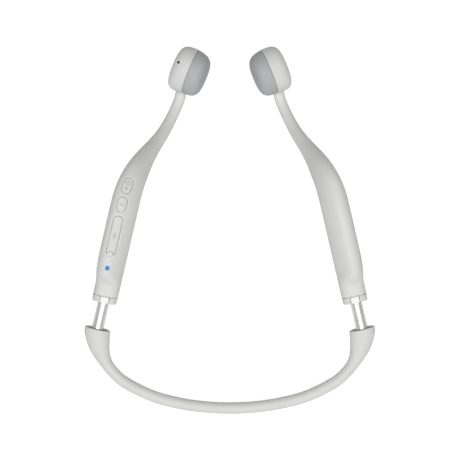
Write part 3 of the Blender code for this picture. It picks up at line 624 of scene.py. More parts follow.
MATERIALS = {
    "shell_grey": moulded("shell_grey", SHELL_COLOUR, 0.58, marked=MARK_COLOUR),
    "silicone_grey": moulded(
        "silicone_grey", SHELL_COLOUR, 0.66, grain=0.00022, marked=MARK_COLOUR, specular=0.35
    ),
    "pad_grey": moulded("pad_grey", PAD_COLOUR, 0.62, grain=0.0002, mottle=0.03, specular=0.35),
    "rod_steel": metal(
        "rod_steel", (0.66, 0.66, 0.65), 0.46, size=0.00012, depth=0.0000004, wear=0.03, metallic=0.6
    ),
    "guide_white": moulded("guide_white", (0.68, 0.68, 0.66), 0.50, grain=0.0002, mottle=0.01),
    "seal_black": moulded("seal_black", (0.022, 0.022, 0.023), 0.62, grain=0.0002, mottle=0.1),
    "spring_alloy": metal("spring_alloy", (0.52, 0.52, 0.54), 0.32, size=0.00008),
    "cable_jacket": moulded("cable_jacket", (0.045, 0.045, 0.05), 0.55, grain=0.0002, mottle=0.08),
    "plated_steel": metal("plated_steel", (0.66, 0.67, 0.69), 0.27, size=0.00025),
    "magnet_nickel": metal("magnet_nickel", (0.70, 0.70, 0.72), 0.2, size=0.0003),
    "coil_copper": coil_material(),
    "board_green": board_material(),
    "chassis_black": moulded("chassis_black", (0.035, 0.035, 0.038), 0.5, grain=0.0002, mottle=0.08),
    "battery_foil": foil_material(),
    "led_blue": led_material(),
    "mesh_black": mesh_material(),
}


def dress_nodes():
    """Every carried-over CAD node gets its slot's procedural material."""
    slots = {}
    for entry in frame["record"].get("materials", []):
        for node in entry.get("nodes", []):
            slots[node] = entry["slot"]
    for name, obj in frame["nodes"].items():
        slot = slots.get(name)
        if slot is None:
            old = obj.data.materials[0].name.split(".")[0] if obj.data.materials else "plated_steel"
            slot = old if old in MATERIALS else "plated_steel"
        obj.data.materials.clear()
        obj.data.materials.append(MATERIALS[slot])


# ---------------------------------------- neckband


def band_rows():
    """Length from the middle, x, v, width and height along the whole band, from one mouth to the other."""
    half = [(0.0, *BAND_LINE[0])]
    for before, row in zip(BAND_LINE, BAND_LINE[1:]):
        step = math.hypot(row[0] - before[0], row[1] - before[1])
        half.append((half[-1][0] + step, *row))
    mirrored = [(-length, -x, v, width, height) for length, x, v, width, height in reversed(half[1:])]
    return mirrored + half


BAND_ROWS = band_rows()
KNUCKLE_LENGTH = BAND_ROWS[len(BAND_LINE) - 1 + KNUCKLE_ROW][0]
MOUTH_LENGTH = BAND_ROWS[-1][0]


def band_station(length):
    """Middle, direction and section of the band. Near the mouths the section turns square to the rod."""
    x, v, width, height = smooth(BAND_ROWS, length)
    before, after = smooth(BAND_ROWS, length - 0.5), smooth(BAND_ROWS, length + 0.5)
    tangent = Vector((after[0] - before[0], after[1] - before[1], 0)).normalized()
    turn = min(max((abs(length) - MOUTH_LENGTH + 12.0) / 12.0, 0.0), 1.0)
    if turn:
        side = math.copysign(1, length)
        towards = Vector((-math.sin(ROD_LEAN), side * math.cos(ROD_LEAN), 0))
        tangent = tangent.lerp(towards, turn * turn * (3 - 2 * turn)).normalized()
    return Vector((x, v, 0)), tangent, (width / 2, height / 2)


def band_ring(length, shrink=0.0, push=0.0):
    middle, tangent, (half_width, half_height) = band_station(length)
    section = oval(half_width - shrink, half_width - shrink, half_height - shrink, BAND_POWERS, BAND_SIDES)
    across = np.array((tangent.y, -tangent.x, 0))
    centre = np.array(middle + tangent * push)
    return centre + section[:, :1] * across + section[:, 1:] * np.array((0, 0, 1))


def bend_with_band(piece, side):
    """Bakes a piece's place into its mesh; the band's points to each side of the flex joint are worked out but not
    used.
    """
    reaches = (-FLEX_REACH, FLEX_REACH)
    start, end = (PLANE @ band_station(side * (KNUCKLE_LENGTH + reach))[0] for reach in reaches)
    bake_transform(piece)


def neckband_half(word, side):
    """Half of the silicone neckband with its horn, the horn's rounded lip and its hollow."""
    straight = MOUTH_LENGTH - LIP_REACH
    rings = [band_ring(side * length) for length in np.linspace(0.0, straight, 150)]
    for angle in np.linspace(0, math.pi, 10)[1:-1]:
        shrink = SLEEVE_WALL / 2 * (1 - math.cos(angle))
        rings.append(band_ring(side * straight, shrink, side * LIP_REACH * math.sin(angle)))
    for depth in np.linspace(LIP_REACH, SLEEVE_FLOOR, 8):
        rings.append(band_ring(side * (MOUTH_LENGTH - depth), SLEEVE_WALL))
    piece = loft(f"{word}_neckband", rings, PLANE, slot="silicone_grey")
    bend_with_band(piece, side)
    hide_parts("neckband_cover", f"{word}_band_sleeve")


def inner_line(name, side, offset, radius, top, slot, node):
    """A half of the spring wire or of the cable, inside the band and the rod."""
    lift = Vector((0, 0, offset))
    points = [band_station(side * length)[0] + lift for length in np.linspace(0.0, MOUTH_LENGTH - 11.0, 40)]
    arm = arm_frame(side)
    points += [arm @ Vector((0, along, offset)) for along in np.linspace(-4.0, top, 12)]
    rings = []
    angles = np.linspace(0, math.tau, 16, endpoint=False)
    for index, point in enumerate(points):
        before, after = points[max(index - 1, 0)], points[min(index + 1, len(points) - 1)]
        tangent = (after - before).normalized()
        across = np.array((tangent.y, -tangent.x, 0))
        up = np.array((0, 0, 1))
        rings.append([np.array(point) + radius * (math.cos(a) * across + math.sin(a) * up) for a in angles])
    piece = loft(name, rings, PLANE, slot=slot)
    bend_with_band(piece, side)
    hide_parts(node)


def rod_seal(word, side):
    """A black rubber ring in the horn's mouth, with a lip that wipes the rod."""
    outer_start, outer_end = 1.5, 3.4
    rings = []
    to_rod = np.array(rod_frame(side).inverted())
    profile = [(0.0, outer_end), (0.0, outer_start + 0.3), (0.06, outer_start + 0.1), (0.3, outer_start)]
    profile += [(0.82, outer_start + 0.25), (0.93, outer_start + 0.1)]
    profile += [(1.0, outer_start + 0.35), (1.0, outer_end)]
    for share, depth in profile:
        edge = apply_matrix(to_rod, band_ring(side * (MOUTH_LENGTH - outer_start), SLEEVE_WALL + 0.04))
        lengths = np.hypot(edge[:, 0], edge[:, 1])
        unit = edge[:, :2] / lengths[:, None]
        radius = lengths * (1 - share) + (ROD_R + 0.03) * share
        rings.append(np.column_stack([unit * radius[:, None], np.full(len(edge), -depth)]))
    piece = over_rows(
        f"{word}_seal", rings, between_rows(rings, closed=True), PLANE @ rod_frame(side),
        body=f"{word}_sleeve", slot="seal_black",
    )  # fmt: skip
    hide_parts(f"{word}_rod_seal")


def slide_rod(word, side):
    """A polished steel tube with chamfered ends and a groove for its retaining ring."""
    neck, chamfer = 2.25, 0.15
    profile = [
        (ROD_BORE_R, ROD_TOP), (ROD_R - chamfer, ROD_TOP), (ROD_R, ROD_TOP - chamfer), (ROD_R, 19.2),
        (neck, 19.2), (neck, 18.2), (ROD_R, 18.2), (ROD_R, 9.0), (ROD_R, 0.0), (ROD_R, ROD_BOTTOM + chamfer),
        (ROD_R - chamfer, ROD_BOTTOM), (ROD_BORE_R, ROD_BOTTOM),
    ]  # fmt: skip
    piece = turned(
        f"{word}_rod", profile, PLANE @ rod_frame(side), steps=128, sharp=30,
        body=f"{word}_sleeve", slot="rod_steel",
    )  # fmt: skip
    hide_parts(f"{word}_slide_rod")


# ---------------------------------------- arms


def ease(value, start, end):
    """0 before start, 1 after end, and a smooth rise between them."""
    part = min(max((value - start) / (end - start), 0.0), 1.0)
    return part * part * (3 - 2 * part)


def arm_powers(along):
    """How boxy the section is, outside and inside: the inner flank slopes, and the hook is rounder."""
    hook = (HOOK_POWER - ARM_POWER) * ease(along, 76.0, 92.0)
    flank = (FLANK_POWER - ARM_POWER) * ease(along, 19.0, 27.0) * (1 - ease(along, 72.0, 92.0))
    return ARM_POWER + hook, ARM_POWER + hook + flank


def arm_section(along, shrink=0.0, groove=0.0):
    """A section of the arm, finer at its two sides. groove is the depth of the parting line there."""
    _, _, _, (outer, inner, half) = arm_station(along)
    outer, inner, half = outer - shrink, inner - shrink, half - shrink
    powers = arm_powers(along)
    section = oval(outer, inner, half, powers, ARM_SIDES - 12)
    turn = len(section) // 2
    step = np.linalg.norm(section[1] - section[0])

    def side_points(reach, sign, shares):
        heights = step * np.array(shares)
        power = powers[0] if reach > 0 else powers[1]
        u = reach * (1 - (heights / half) ** power) ** (1 / power)
        return np.column_stack([u, sign * heights])

    rising, falling = (0.2, 0.4, 0.7), (0.7, 0.4, 0.2)
    ring = np.vstack([
        [(outer, 0)], side_points(outer, 1, rising), section[1:turn], side_points(-inner, 1, falling),
        [(-inner, 0)], side_points(-inner, -1, rising), section[turn + 1:], side_points(outer, -1, falling),
    ])  # fmt: skip
    if groove:
        at_side = np.abs(ring[:, 0]) > 0.5 * inner
        ring[:, 0] -= np.sign(ring[:, 0]) * at_side * groove * np.exp(-((ring[:, 1] / 0.11) ** 2))
    return ring


def arm_ring(along, shrink=0.0, groove=0.0, shift=0.0):
    middle, u, h, _ = arm_station(along)
    section = arm_section(along, shrink, groove)
    centre = np.array(middle) + np.array((0, shift, 0))
    return centre + section[:, :1] * np.array(u) + section[:, 1:] * np.array(h)


def hook_grid():
    """Places along the hook, and its skin there: it runs on in a straight line inside the pod."""
    places = np.arange(HOOK_FREE, 124.0, 0.1)
    middle, u, h, _ = arm_station(HOOK_LAST)
    tangent = np.array(h.cross(u))
    last = arm_ring(HOOK_LAST)
    rows = [arm_ring(a) if a <= HOOK_LAST else last + tangent * (a - HOOK_LAST) for a in places]
    return places, np.array(rows)


def pod_measure(points):
    """1 on the pod's surface, less inside it. points are from its middle."""
    rear_end = 1 + REAR_GROW * np.where(points[..., 1] < 0, np.maximum(-points[..., 0] / POD_HALF[0], 0), 0)
    share = np.abs(points) / POD_HALF
    share[..., 1] /= rear_end
    ring = (share[..., 1] ** POD_OVAL_POWER + share[..., 2] ** POD_OVAL_POWER) ** (1 / POD_OVAL_POWER)
    return (share[..., 0] ** POD_POWER + ring**POD_POWER) ** (1 / POD_POWER)


def flat_to_pod(flat):
    """A point of the flat map of the pod's outer half, on its surface. The map's centre is its pole."""
    square = (flat**2).sum(axis=-1, keepdims=True)
    points = np.concatenate([(square - 1) / (square + 1), 2 * flat / (square + 1)], axis=-1) * POD_HALF
    for _ in range(6):
        points = points / pod_measure(points)[..., None]
    return points


def pod_to_flat(points):
    direction = points / POD_HALF
    direction = direction / np.linalg.norm(direction, axis=-1, keepdims=True)
    return direction[..., 1:] / (1 - direction[..., :1])


def pod_join():
    """Rings in arm directions from the hook, round a fillet and over the pod's outer half to the seam."""
    local = pod_local()
    to_pod = np.array(local.inverted())
    places, grid = hook_grid()
    inside = pod_measure(apply_matrix(to_pod, grid.reshape(-1, 3)).reshape(grid.shape))
    first = (inside < 1).argmax(axis=0)
    columns = np.arange(grid.shape[1])
    before, after = inside[first - 1, columns], inside[first, columns]
    entry = places[first - 1] + (before - 1) / (before - after) * (places[1] - places[0])

    def hook_points(at):
        """The hook's skin with each of its lines at its own place along."""
        index = np.clip((at - places[0]) / (places[1] - places[0]), 0, len(places) - 1.001)
        low = index.astype(int)
        part = (index - low)[:, None]
        return grid[low, columns] * (1 - part) + grid[low + 1, columns] * part

    start = entry - FILLET
    rings = [hook_points(HOOK_FREE + (start - HOOK_FREE) * step / 14) for step in range(1, 15)]
    foot = apply_matrix(to_pod, hook_points(entry))
    flat = pod_to_flat(foot)
    away = flat - flat.mean(axis=0)
    away /= np.linalg.norm(away, axis=1, keepdims=True)
    edge_at = SEAM - SEAM_GAP / 2 - EDGE_R
    low, high = np.zeros(len(flat)), np.full(len(flat), 3.0)
    for _ in range(40):
        middle = (low + high) / 2
        short = flat_to_pod(flat + away * middle[:, None])[:, 0] < edge_at
        low, high = np.where(short, middle, low), np.where(short, high, middle)
    room = low
    step_out = np.minimum(FILLET / 12.5, 0.6 * room)
    landing = apply_matrix(local, flat_to_pod(flat + away * step_out[:, None]))
    near, corner = hook_points(start), hook_points(entry)
    for t in np.linspace(0, 1, 13)[1:]:
        rings.append(near * (1 - t) ** 2 + corner * (2 * t * (1 - t)) + landing * t**2)
    for t in np.linspace(0, 1, 56)[1:]:
        reach = step_out + (room - step_out) * t
        rings.append(apply_matrix(local, flat_to_pod(flat + away * reach[:, None])))
    edge = apply_matrix(to_pod, rings[-1])
    lengths = np.hypot(edge[:, 1], edge[:, 2])
    wall = 1.6
    for inset, rise in quarter(EDGE_R) + [(wall, EDGE_R)]:
        scale = (1 - inset / lengths)[:, None]
        ring = np.column_stack([np.full(len(edge), edge_at + rise), edge[:, 1:] * scale])
        rings.append(apply_matrix(local, ring))
    return rings


def parting(along):
    """Depth of the parting line, which fades out where the housing turns into the hook."""
    fade = min(max((HOUSING_TOP - along) / 5.0, 0.0), 1.0)
    return PARTING_DEPTH * fade


def arm_rings():
    """The skin of housing, hook and the pod's outer half, in arm directions."""
    rings = []
    for inset, rise in [(2.0, EDGE_R)] + quarter(EDGE_R)[::-1]:
        rings.append(arm_ring(HOUSING_BOTTOM + EDGE_R, inset, shift=-rise))
    stations = list(np.linspace(HOUSING_BOTTOM + EDGE_R, 35, 34)) + list(np.linspace(35.8, 62, 34))
    stations += list(np.linspace(62.7, HOOK_FREE, 64))
    rings += [arm_ring(along, groove=parting(along)) for along in stations]
    return rings + pod_join()


def arm_skin(word, side, rings):
    return loft(f"{word}_arm_skin", rings, PLANE @ arm_frame(side), sharp=42)


def end_cap(word, side):
    """The cap that the rod slides through, with a notch in its crown for the white guide."""
    rings = []
    round_by = 0.4
    for inset, rise in quarter(round_by)[::-1]:
        rings.append(arm_ring(CAP_BOTTOM + round_by, inset, shift=-rise))
    rings += [arm_ring(along) for along in np.linspace(CAP_BOTTOM + round_by, CAP_TOP - EDGE_R, 6)]
    for inset, rise in quarter(EDGE_R) + [(0.55, EDGE_R), (0.55, EDGE_R + 0.28)]:
        rings.append(arm_ring(CAP_TOP - EDGE_R, inset, shift=rise))
    cap = loft(f"{word}_cap", rings, PLANE @ arm_frame(side), sharp=42)
    bore = cutter(prism_rings(round_outline(3.9, 96), 10.0, 18.0), PLANE @ rod_frame(side))
    low, high = KEY_INNER - GAP, KEY_OUTER + GAP
    corners = [(low, 1.0), (high, 1.0), (high, 7.0), (low, 7.0)]
    notch = cutter([[(x, along, z) for x, z in corners] for along in (10.0, 18.0)], PLANE @ arm_frame(side))
    cut(cap, bore, notch)
    dress(cap, f"{word}_arm", "shell_grey", sharp=42)
    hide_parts(f"{word}_end_cap")


def slide_guide(word, side):
    """A white bushing round the rod, with a rounded key that shows flush in the cap's notch."""
    sink = 0.04
    middle, _, _, (outer, inner, half) = arm_station(14.0)

    def top(x):
        u = x - middle.x
        reach = outer if u > 0 else inner
        return half * (1 - (abs(u) / reach) ** ARM_POWER) ** (1 / ARM_POWER) - sink

    round_by = 0.22

    def rounded(middle_x, first, last):
        """A rounded edge of the key, below its curved top."""
        places = [(middle_x + round_by * math.cos(a), math.sin(a)) for a in np.linspace(first, last, 6)]
        return [(x, top(x) - round_by + round_by * sine) for x, sine in places]

    outer_x, inner_x = KEY_OUTER - round_by, KEY_INNER + round_by
    outline = [(KEY_INNER, KEY_LOW), (KEY_OUTER, KEY_LOW)] + rounded(outer_x, 0, math.pi / 2)
    outline += [(x, top(x)) for x in np.linspace(outer_x - 0.2, inner_x + 0.2, 12)]
    outline = np.array(outline + rounded(inner_x, math.pi / 2, math.pi))
    centre = outline.mean(axis=0)
    start, end, end_round = 12.5, 15.2, 0.18
    edge = quarter(end_round)
    sections = [(1 - inset / 2, start + end_round - rise) for inset, rise in edge[::-1]]
    sections += [(1.0, start + end_round), (1.0, end - end_round)]
    sections += [(1 - inset / 2, end - end_round + rise) for inset, rise in edge]
    rings = []
    for scale, along in sections:
        rings.append([(x, along, z) for x, z in centre + (outline - centre) * scale])
    key = cutter(rings, PLANE @ arm_frame(side))
    circle = round_outline(3.6, 96)
    narrow = level_ring([(x * 0.95, y * 0.95) for x, y in circle], start)
    sleeve = [narrow, level_ring(circle, 12.7), level_ring(circle, 17.6)]
    guide = loft(f"{word}_guide", sleeve, PLANE @ rod_frame(side))
    cut(guide, key, operation="UNION")
    cut(guide, cutter(prism_rings(round_outline(2.8, 96), 10.0, 20.0), PLANE @ rod_frame(side)))
    dress(guide, f"{word}_arm", "guide_white", sharp=42)
    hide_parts(f"{word}_slide_guide")


def contact_pad(word, side):
    """The dark half of the pod, with a small step that closes the seam groove."""
    steps = np.linspace(0, math.pi / 2, 400)
    reach = np.sin(steps) ** (2 / POD_POWER) * POD_HALF[0]
    share = np.cos(steps) ** (2 / POD_POWER)
    curve = np.column_stack([reach, share])
    edge_at = SEAM + SEAM_GAP / 2 + EDGE_R
    scaled = curve * (1, POD_HALF[1])
    lengths = np.concatenate([[0], np.cumsum(np.linalg.norm(np.diff(scaled, axis=0), axis=1))])
    first = np.interp(edge_at, reach, lengths)
    places = np.linspace(first, lengths[-1] * 0.995, 64)
    unit = oval(1.0, 1.0, 1.0, (POD_OVAL_POWER, POD_OVAL_POWER), ARM_SIDES)

    def ring(depth, scale):
        front, up = unit[:, 0].copy(), unit[:, 1]
        front[front > 0] *= 1 - FRONT_CUT * depth / POD_HALF[0]
        columns = [np.full(len(unit), depth), front * POD_HALF[1] * scale, up * POD_HALF[2] * scale]
        return np.column_stack(columns)

    edge_share = np.interp(edge_at, reach, share)
    rings = []
    for inset, rise in [(1.8, EDGE_R + 0.27), (0.55, EDGE_R + 0.27), (0.55, EDGE_R)] + quarter(EDGE_R)[::-1]:
        rings.append(ring(edge_at - rise, edge_share - inset / 10.5))
    for place in places:
        rings.append(ring(np.interp(place, lengths, reach), np.interp(place, lengths, share)))
    pad = loft(f"{word}_pad", rings, PLANE @ arm_frame(side) @ pod_local(), sharp=42)
    dress(pad, f"{word}_arm", "pad_grey", sharp=42)
    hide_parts(f"{word}_contact_pad")


# ---------------------------------------- controls


def drape(surface, place, outline, lift=0.0):
    """Points of an outline in a crown frame, laid on the surface below them."""
    found, start_z = [], 4.0
    down = -place.col[2].xyz.normalized()
    inverse = place.inverted()
    for x, y in outline:
        hit = surface.ray_cast(place @ Vector((x, y, start_z)), down)[0]
        z = (inverse @ hit).z if hit is not None else 0.0
        found.append((x, y, z + lift))
    return found


def opening(surface, place, length, width, depth, tools):
    """A hole with a rounded lip: the cutter goes to tools, and the lip's own skin is returned."""
    tools.append(cutter(prism_rings(stadium(length + 0.6, width + 0.6), -depth, 2.5), place))
    rows = []
    for grow, lift in LIP:
        rows.append(drape(surface, place, stadium(length + 2 * grow, width + 2 * grow), lift))
    rows.append([(x, y, z - depth + 0.3) for x, y, z in rows[-1]])
    rows.append([(x * (1 + 0.6 / length), y * (1 + 0.6 / width), z) for x, y, z in rows[-1]])
    rows.append([(x * (1 + 0.5 / length), y * (1 + 0.5 / width), z - 0.03) for x, y, z in rows[0]])
    return over_rows("lip", rows, between_rows(rows, closed=True), place)


def slab(name, surface, place, length, width, height, skirt, lift=0.0, round_by=0.25, steps=26):
    """A soft slab in an opening: a draped top with rounded edges, walls and a skirt that fills the gap."""
    rows = []
    half = width / 2
    for grow, drop in skirt:
        outline = stadium(length + 2 * grow, width + 2 * grow)
        rows.append(drape(surface, place, outline, -drop))
    for inset, rise in [(0.0, 0.0)] + quarter(round_by):
        outline = stadium(length - 2 * inset, width - 2 * inset)
        rows.append(drape(surface, place, outline, lift - round_by + rise))
    for step in range(1, steps + 1):
        inset = round_by + (half - round_by) * step / steps
        outline = stadium(length - 2 * inset, max(width - 2 * inset, 0.0))
        rows.append(drape(surface, place, outline, lift))
    rows.insert(0, [(x, y, z - height) for x, y, z in rows[0]])
    bottom = [tuple(range(len(rows[0])))]
    return over_rows(name, rows, bottom + between_rows(rows), place)


def away_from_segment(x, y, ax, ay, bx, by):
    """Distance from a point to a segment."""
    length = (bx - ax) ** 2 + (by - ay) ** 2
    t = min(max(((x - ax) * (bx - ax) + (y - ay) * (by - ay)) / length, 0.0), 1.0)
    return math.hypot(x - ax - t * (bx - ax), y - ay - t * (by - ay))


def engrave(obj, place, distance, stroke, depth):
    """Presses lines into a slab's top and marks them, where distance(x, y) is less than half a stroke."""
    skirt_z, fade = -0.9, 0.1
    inverse = place.inverted()
    down = -place.col[2].xyz
    mark = np.zeros(len(obj.data.vertices), np.float32)
    for index, vertex in enumerate(obj.data.vertices):
        local = inverse @ vertex.co
        if local.z < skirt_z:
            continue
        share = (stroke / 2 + fade / 2 - distance(local.x, local.y)) / fade
        share = min(max(share, 0.0), 1.0)
        mark[index] = share
        vertex.co += down * (depth * share)
    obj.data.attributes.new("marked", "FLOAT", "POINT").data.foreach_set("value", mark)


def power_and_plus(x, y):
    """A power sign towards the pods and a plus towards the neckband."""
    ring_x, radius, plus_x, arm = 1.28, 0.88, -1.28, 0.9
    from_ring = math.hypot(x - ring_x, y)
    angle = abs(math.atan2(y, x - ring_x))
    ring = abs(from_ring - radius) if angle > 0.6 else 9.0
    bar = away_from_segment(x, y, ring_x + 0.25, 0, ring_x + radius + 0.15, 0)
    plus = min(away_from_segment(x, y, plus_x - arm, 0, plus_x + arm, 0),
               away_from_segment(x, y, plus_x, -arm, plus_x, arm))  # fmt: skip
    return min(ring, bar, plus)


def minus(x, y):
    return away_from_segment(x, y, 0, -0.95, 0, 0.95)


def bolt(x, y):
    """A lightning bolt, as three strokes."""
    return min(away_from_segment(x, y, 1.4, -0.25, -0.1, 0.55),
               away_from_segment(x, y, -0.1, 0.55, 0.1, -0.55),
               away_from_segment(x, y, 0.1, -0.55, -1.4, 0.25))  # fmt: skip


def button(word, at, size, surface, sign):
    place = PLANE @ crown_frame(at, RIGHT)
    length, width = size[0] - 2 * GAP, size[1] - 2 * GAP
    skirt = [(0.27, 0.95), (0.27, 0.62), (0.06, 0.58), (0.0, 0.5)]
    cap = slab(f"{word}_cap", surface, place, length, width, 0.4, skirt, lift=0.03, round_by=0.3, steps=30)
    engrave(cap, place, sign, 0.26, 0.1)
    dress(cap, f"{word}_button", "silicone_grey", sharp=60)
    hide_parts(f"{word}_button")


def scoop_frame(surface):
    """The middle of the nail scoop, on the housing's crown at the lower end of the lid."""
    place = PLANE @ crown_frame(COVER_AT, RIGHT)
    x = -COVER_SIZE[0] / 2 + 0.45
    drop = drape(surface, place, [(x, 0)])[0][2]
    return place @ Matrix.Translation((x, 0, drop))


def scoop_ball(surface, lower=0.0):
    """The cutter of the nail scoop: a ball that dips into the crown."""
    ball_r = (SCOOP_R**2 + SCOOP_DEPTH**2) / (2 * SCOOP_DEPTH)
    lift = ball_r - SCOOP_DEPTH - lower
    rings = []
    for angle in np.linspace(-math.pi / 2, math.pi / 2, 40)[1:-1]:
        rings.append(level_ring(round_outline(ball_r * math.cos(angle), 96), lift + ball_r * math.sin(angle)))
    return cutter(rings, scoop_frame(surface))


def scoop_floor(surface):
    """The part of the nail scoop's dish that lies in the lid's opening."""
    sides = prism_rings(round_outline(SCOOP_R + 0.02), -1.3, -0.02)
    dish = loft("scoop_dish", sides, scoop_frame(surface))
    cut(dish, scoop_ball(surface, lower=0.02))
    dress(dish, "right_arm", "shell_grey", sharp=42)


def charge_lid(surface):
    """The silicone lid over the charging port: one strip, with a nail scoop cut into its end."""
    place = PLANE @ crown_frame(COVER_AT, RIGHT)
    length, width = COVER_SIZE[0] - 2 * GAP, COVER_SIZE[1] - 2 * GAP
    skirt = [(0.0, 0.9)]
    lid = slab("charge_lid", surface, place, length, width, 0.2, skirt, round_by=0.22, steps=24)
    cut(lid, cutter(prism_rings(round_outline(SCOOP_R + 0.22), -3.0, 2.0), scoop_frame(surface)))
    engrave(lid, place, bolt, 0.3, 0.1)
    dress(lid, None, "silicone_grey", sharp=50)
    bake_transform(lid)
    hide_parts("charge_cover", "charge_cover_anchor")


def lid_floor(surface):
    """The recess's floor round the socket, a little below the lid, so that its groove is shallow."""
    place = PLANE @ crown_frame(COVER_AT, RIGHT)
    length, width = COVER_SIZE
    outer, inner = stadium(length + 0.1, width + 0.1), stadium(9.7, 3.95)
    levels = ((outer, -1.15), (inner, -1.15), (inner, -2.3), (outer, -2.3))
    rows = []
    for outline, level in levels:
        rows.append([(x, y, z + level) for x, y, z in drape(surface, place, outline)])
    recess = over_rows("port_recess", rows, between_rows(rows, closed=True), place)
    dress(recess, "right_arm", "shell_grey", sharp=42)


def light_halo(obj, place):
    """Marks the housing round the indicator, where the glow of its light is painted into the plastic's colour."""
    reach, fade = 1.45, 0.6
    inverse = place.inverted()
    glow = np.zeros(len(obj.data.vertices), np.float32)
    for index, vertex in enumerate(obj.data.vertices):
        local = inverse @ vertex.co
        if abs(local.z) < 0.5:
            glow[index] = min(max((reach - math.hypot(local.x, local.y)) / fade, 0.0), 1.0)
    obj.data.attributes.new("lit", "FLOAT", "POINT").data.foreach_set("value", glow)


def led_lens():
    """A small clear dome, flush with the housing."""
    place = PLANE @ crown_frame(LED_AT, RIGHT)
    dome = [(1.0, -1.7), (1.0, -0.16), (0.97, -0.08), (0.85, -0.02), (0.6, 0.0), (0.3 / LED_R, 0.02)]
    rings = [level_ring(round_outline(LED_R * share, 48), z) for share, z in dome]
    lens = loft("indicator_lens", rings, place, body="right_arm", slot="led_blue")
    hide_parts("status_led_lens")


def microphone_hole(tools):
    """The cutter of the microphone's hole, with a small countersink, and a fine mesh inside it."""
    place = PLANE @ arm_frame(RIGHT) @ pod_local()
    depth, front = MIC_AT
    share = (1 - abs(depth / POD_HALF[0]) ** POD_POWER) ** (1 / POD_POWER)
    top = POD_HALF[2] * share

    def rings(sections):
        outlines = [(round_outline(radius, 48), z) for radius, z in sections]
        return [[(depth + x, front + y, top + z) for x, y in outline] for outline, z in outlines]

    hole = [(MIC_R, -2.0), (MIC_R, -0.12), (MIC_R + 0.14, 0.04), (MIC_R + 0.6, 1.2)]
    tools.append(cutter(rings(hole), place))
    disc = [(0.58, -1.3), (0.58, -0.9), (0.4, -0.86), (0.1, -0.85)]
    mesh = loft("microphone_gauze", rings(disc), place, body="right_arm", slot="mesh_black")
    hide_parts("mic_mesh")


def surface_of(obj):
    return BVHTree.FromObject(obj, bpy.context.evaluated_depsgraph_get())


def build_arms():
    rings = arm_rings()
    for word, side in SIDES.items():
        piece = arm_skin(word, side, rings)
        if side == RIGHT:
            bpy.context.view_layer.update()
            surface = surface_of(piece)
            tools, lips = [], []
            openings = ((POWER_AT, POWER_SIZE), (VOLUME_AT, VOLUME_SIZE), (COVER_AT, COVER_SIZE))
            for at, (length, width) in openings:
                place = PLANE @ crown_frame(at, side)
                lips.append(opening(surface, place, length, width, 2.9, tools))
            led_place = PLANE @ crown_frame(LED_AT, side)
            diameter = 2 * LED_R + 0.2
            lips.append(opening(surface, led_place, diameter, diameter, 1.6, tools))
            microphone_hole(tools)
            cut(piece, *tools, scoop_ball(surface))
            cut(lips[2], scoop_ball(surface))
            join(piece, *lips)
            light_halo(piece, led_place)
            button("power", POWER_AT, POWER_SIZE, surface, power_and_plus)
            button("volume_down", VOLUME_AT, VOLUME_SIZE, surface, minus)
            charge_lid(surface)
            lid_floor(surface)
            scoop_floor(surface)
            led_lens()
        dress(piece, f"{word}_arm", "shell_grey", sharp=42)
        shells = ("housing_face_shell", "housing_back_shell", "ear_hook", "pod_shell")
        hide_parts(*(f"{word}_{node}" for node in shells))
        end_cap(word, side)
        slide_guide(word, side)
        contact_pad(word, side)


def build_band():
    for word, side in SIDES.items():
        neckband_half(word, side)
        rod_seal(word, side)
        slide_rod(word, side)
        inner_line(f"{word}_spring_wire", side, -0.75, 0.45, 3.0, "spring_alloy", "band_spring_wire")
        inner_line(f"{word}_cable", side, 0.75, 0.5, 18.0, "cable_jacket", "band_cable")


# ---------------------------------------- stage


FLOOR_COLOUR = (0.20, 0.20, 0.20)
FLOOR_GLOW = 0.90
WORLD_STRENGTH = 0.06
# The softbox, in metres and watts.
LIGHT_AT = (0.0, -0.46, 1.54)
LIGHT_SIZE = (0.7, 0.7)
LIGHT_POWER = 30.8
CAMERA_TILT = math.radians(4.0)
CAMERA_AWAY = 600.0
CAMERA_TARGET = (0.09, 79.65, 0.0)
CAMERA_LENS = 104.35


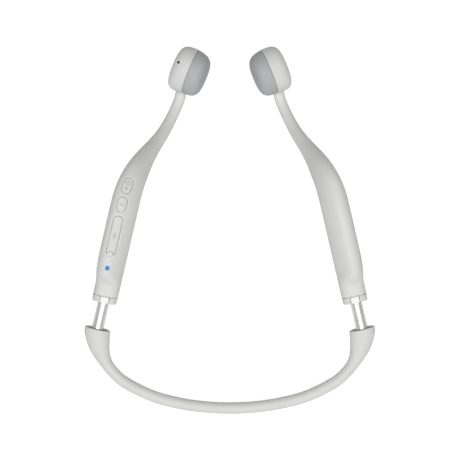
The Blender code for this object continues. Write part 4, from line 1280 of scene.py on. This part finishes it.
def floor():
    """A pale sheet just under the part. It glows, so that the picture's ground is nearly white."""
    size, drop = 3.0, 0.00002
    mesh = bpy.data.meshes.new("floor")
    z = cad_box[0].z - drop
    corners = [(-size, -size, z), (size, -size, z), (size, size, z), (-size, size, z)]
    mesh.from_pydata(corners, [], [(0, 1, 2, 3)])
    plane = bpy.data.objects.new("floor", mesh)
    bpy.context.scene.collection.objects.link(plane)
    nodes = Nodes("floor_paper")
    cloud = nodes.spread(nodes.noise(0.15), 0.0, 1.0)
    nodes.base(nodes.mix(cloud, tone(FLOOR_COLOUR, 0.995), FLOOR_COLOUR))
    nodes.set("Emission Color", (1.0, 1.0, 1.0, 1.0))
    nodes.set("Emission Strength", FLOOR_GLOW)
    nodes.set("Roughness", 0.9)
    nodes.set("Specular IOR Level", 0.1)
    mesh.materials.append(nodes.material)


def area_light(name, place, aim, size, power):
    data = bpy.data.lights.new(name, "AREA")
    data.shape = "RECTANGLE"
    data.size, data.size_y = size
    data.energy = power
    light = bpy.data.objects.new(name, data)
    bpy.context.scene.collection.objects.link(light)
    direction = Vector(aim) - Vector(place)
    light.location = place
    light.rotation_mode = "QUATERNION"
    light.rotation_quaternion = direction.to_track_quat("-Z", "Y")


def studio():
    scene = bpy.context.scene
    world = bpy.data.worlds.new("studio")
    scene.world = world
    world.use_nodes = True
    background = world.node_tree.nodes["Background"]
    background.inputs["Color"].default_value = (1.0, 1.0, 1.0, 1.0)
    background.inputs["Strength"].default_value = WORLD_STRENGTH
    area_light("softbox", LIGHT_AT, (0.0, 0.0, 0.0), LIGHT_SIZE, LIGHT_POWER)
    scene.view_settings.view_transform = "Standard"


def camera():
    """Looks straight at the plane of the neckband, from a little towards the pods."""
    data = bpy.data.cameras.new("camera")
    data.sensor_width = 36.0
    data.lens = CAMERA_LENS
    obj = bpy.data.objects.new("camera", data)
    bpy.context.scene.collection.objects.link(obj)
    turn = PLANE.to_3x3()
    back = (turn @ Vector((0, math.sin(CAMERA_TILT), math.cos(CAMERA_TILT)))).normalized()
    side = Vector((1, 0, 0))
    up = back.cross(side)
    target = PLANE @ Vector(CAMERA_TARGET)
    place = Matrix((side, up, back)).transposed().to_4x4()
    place.translation = target + back * CAMERA_AWAY * MM
    obj.matrix_world = place
    bpy.context.scene.camera = obj


camera()
dress_nodes()
build_band()
build_arms()
floor()
studio()
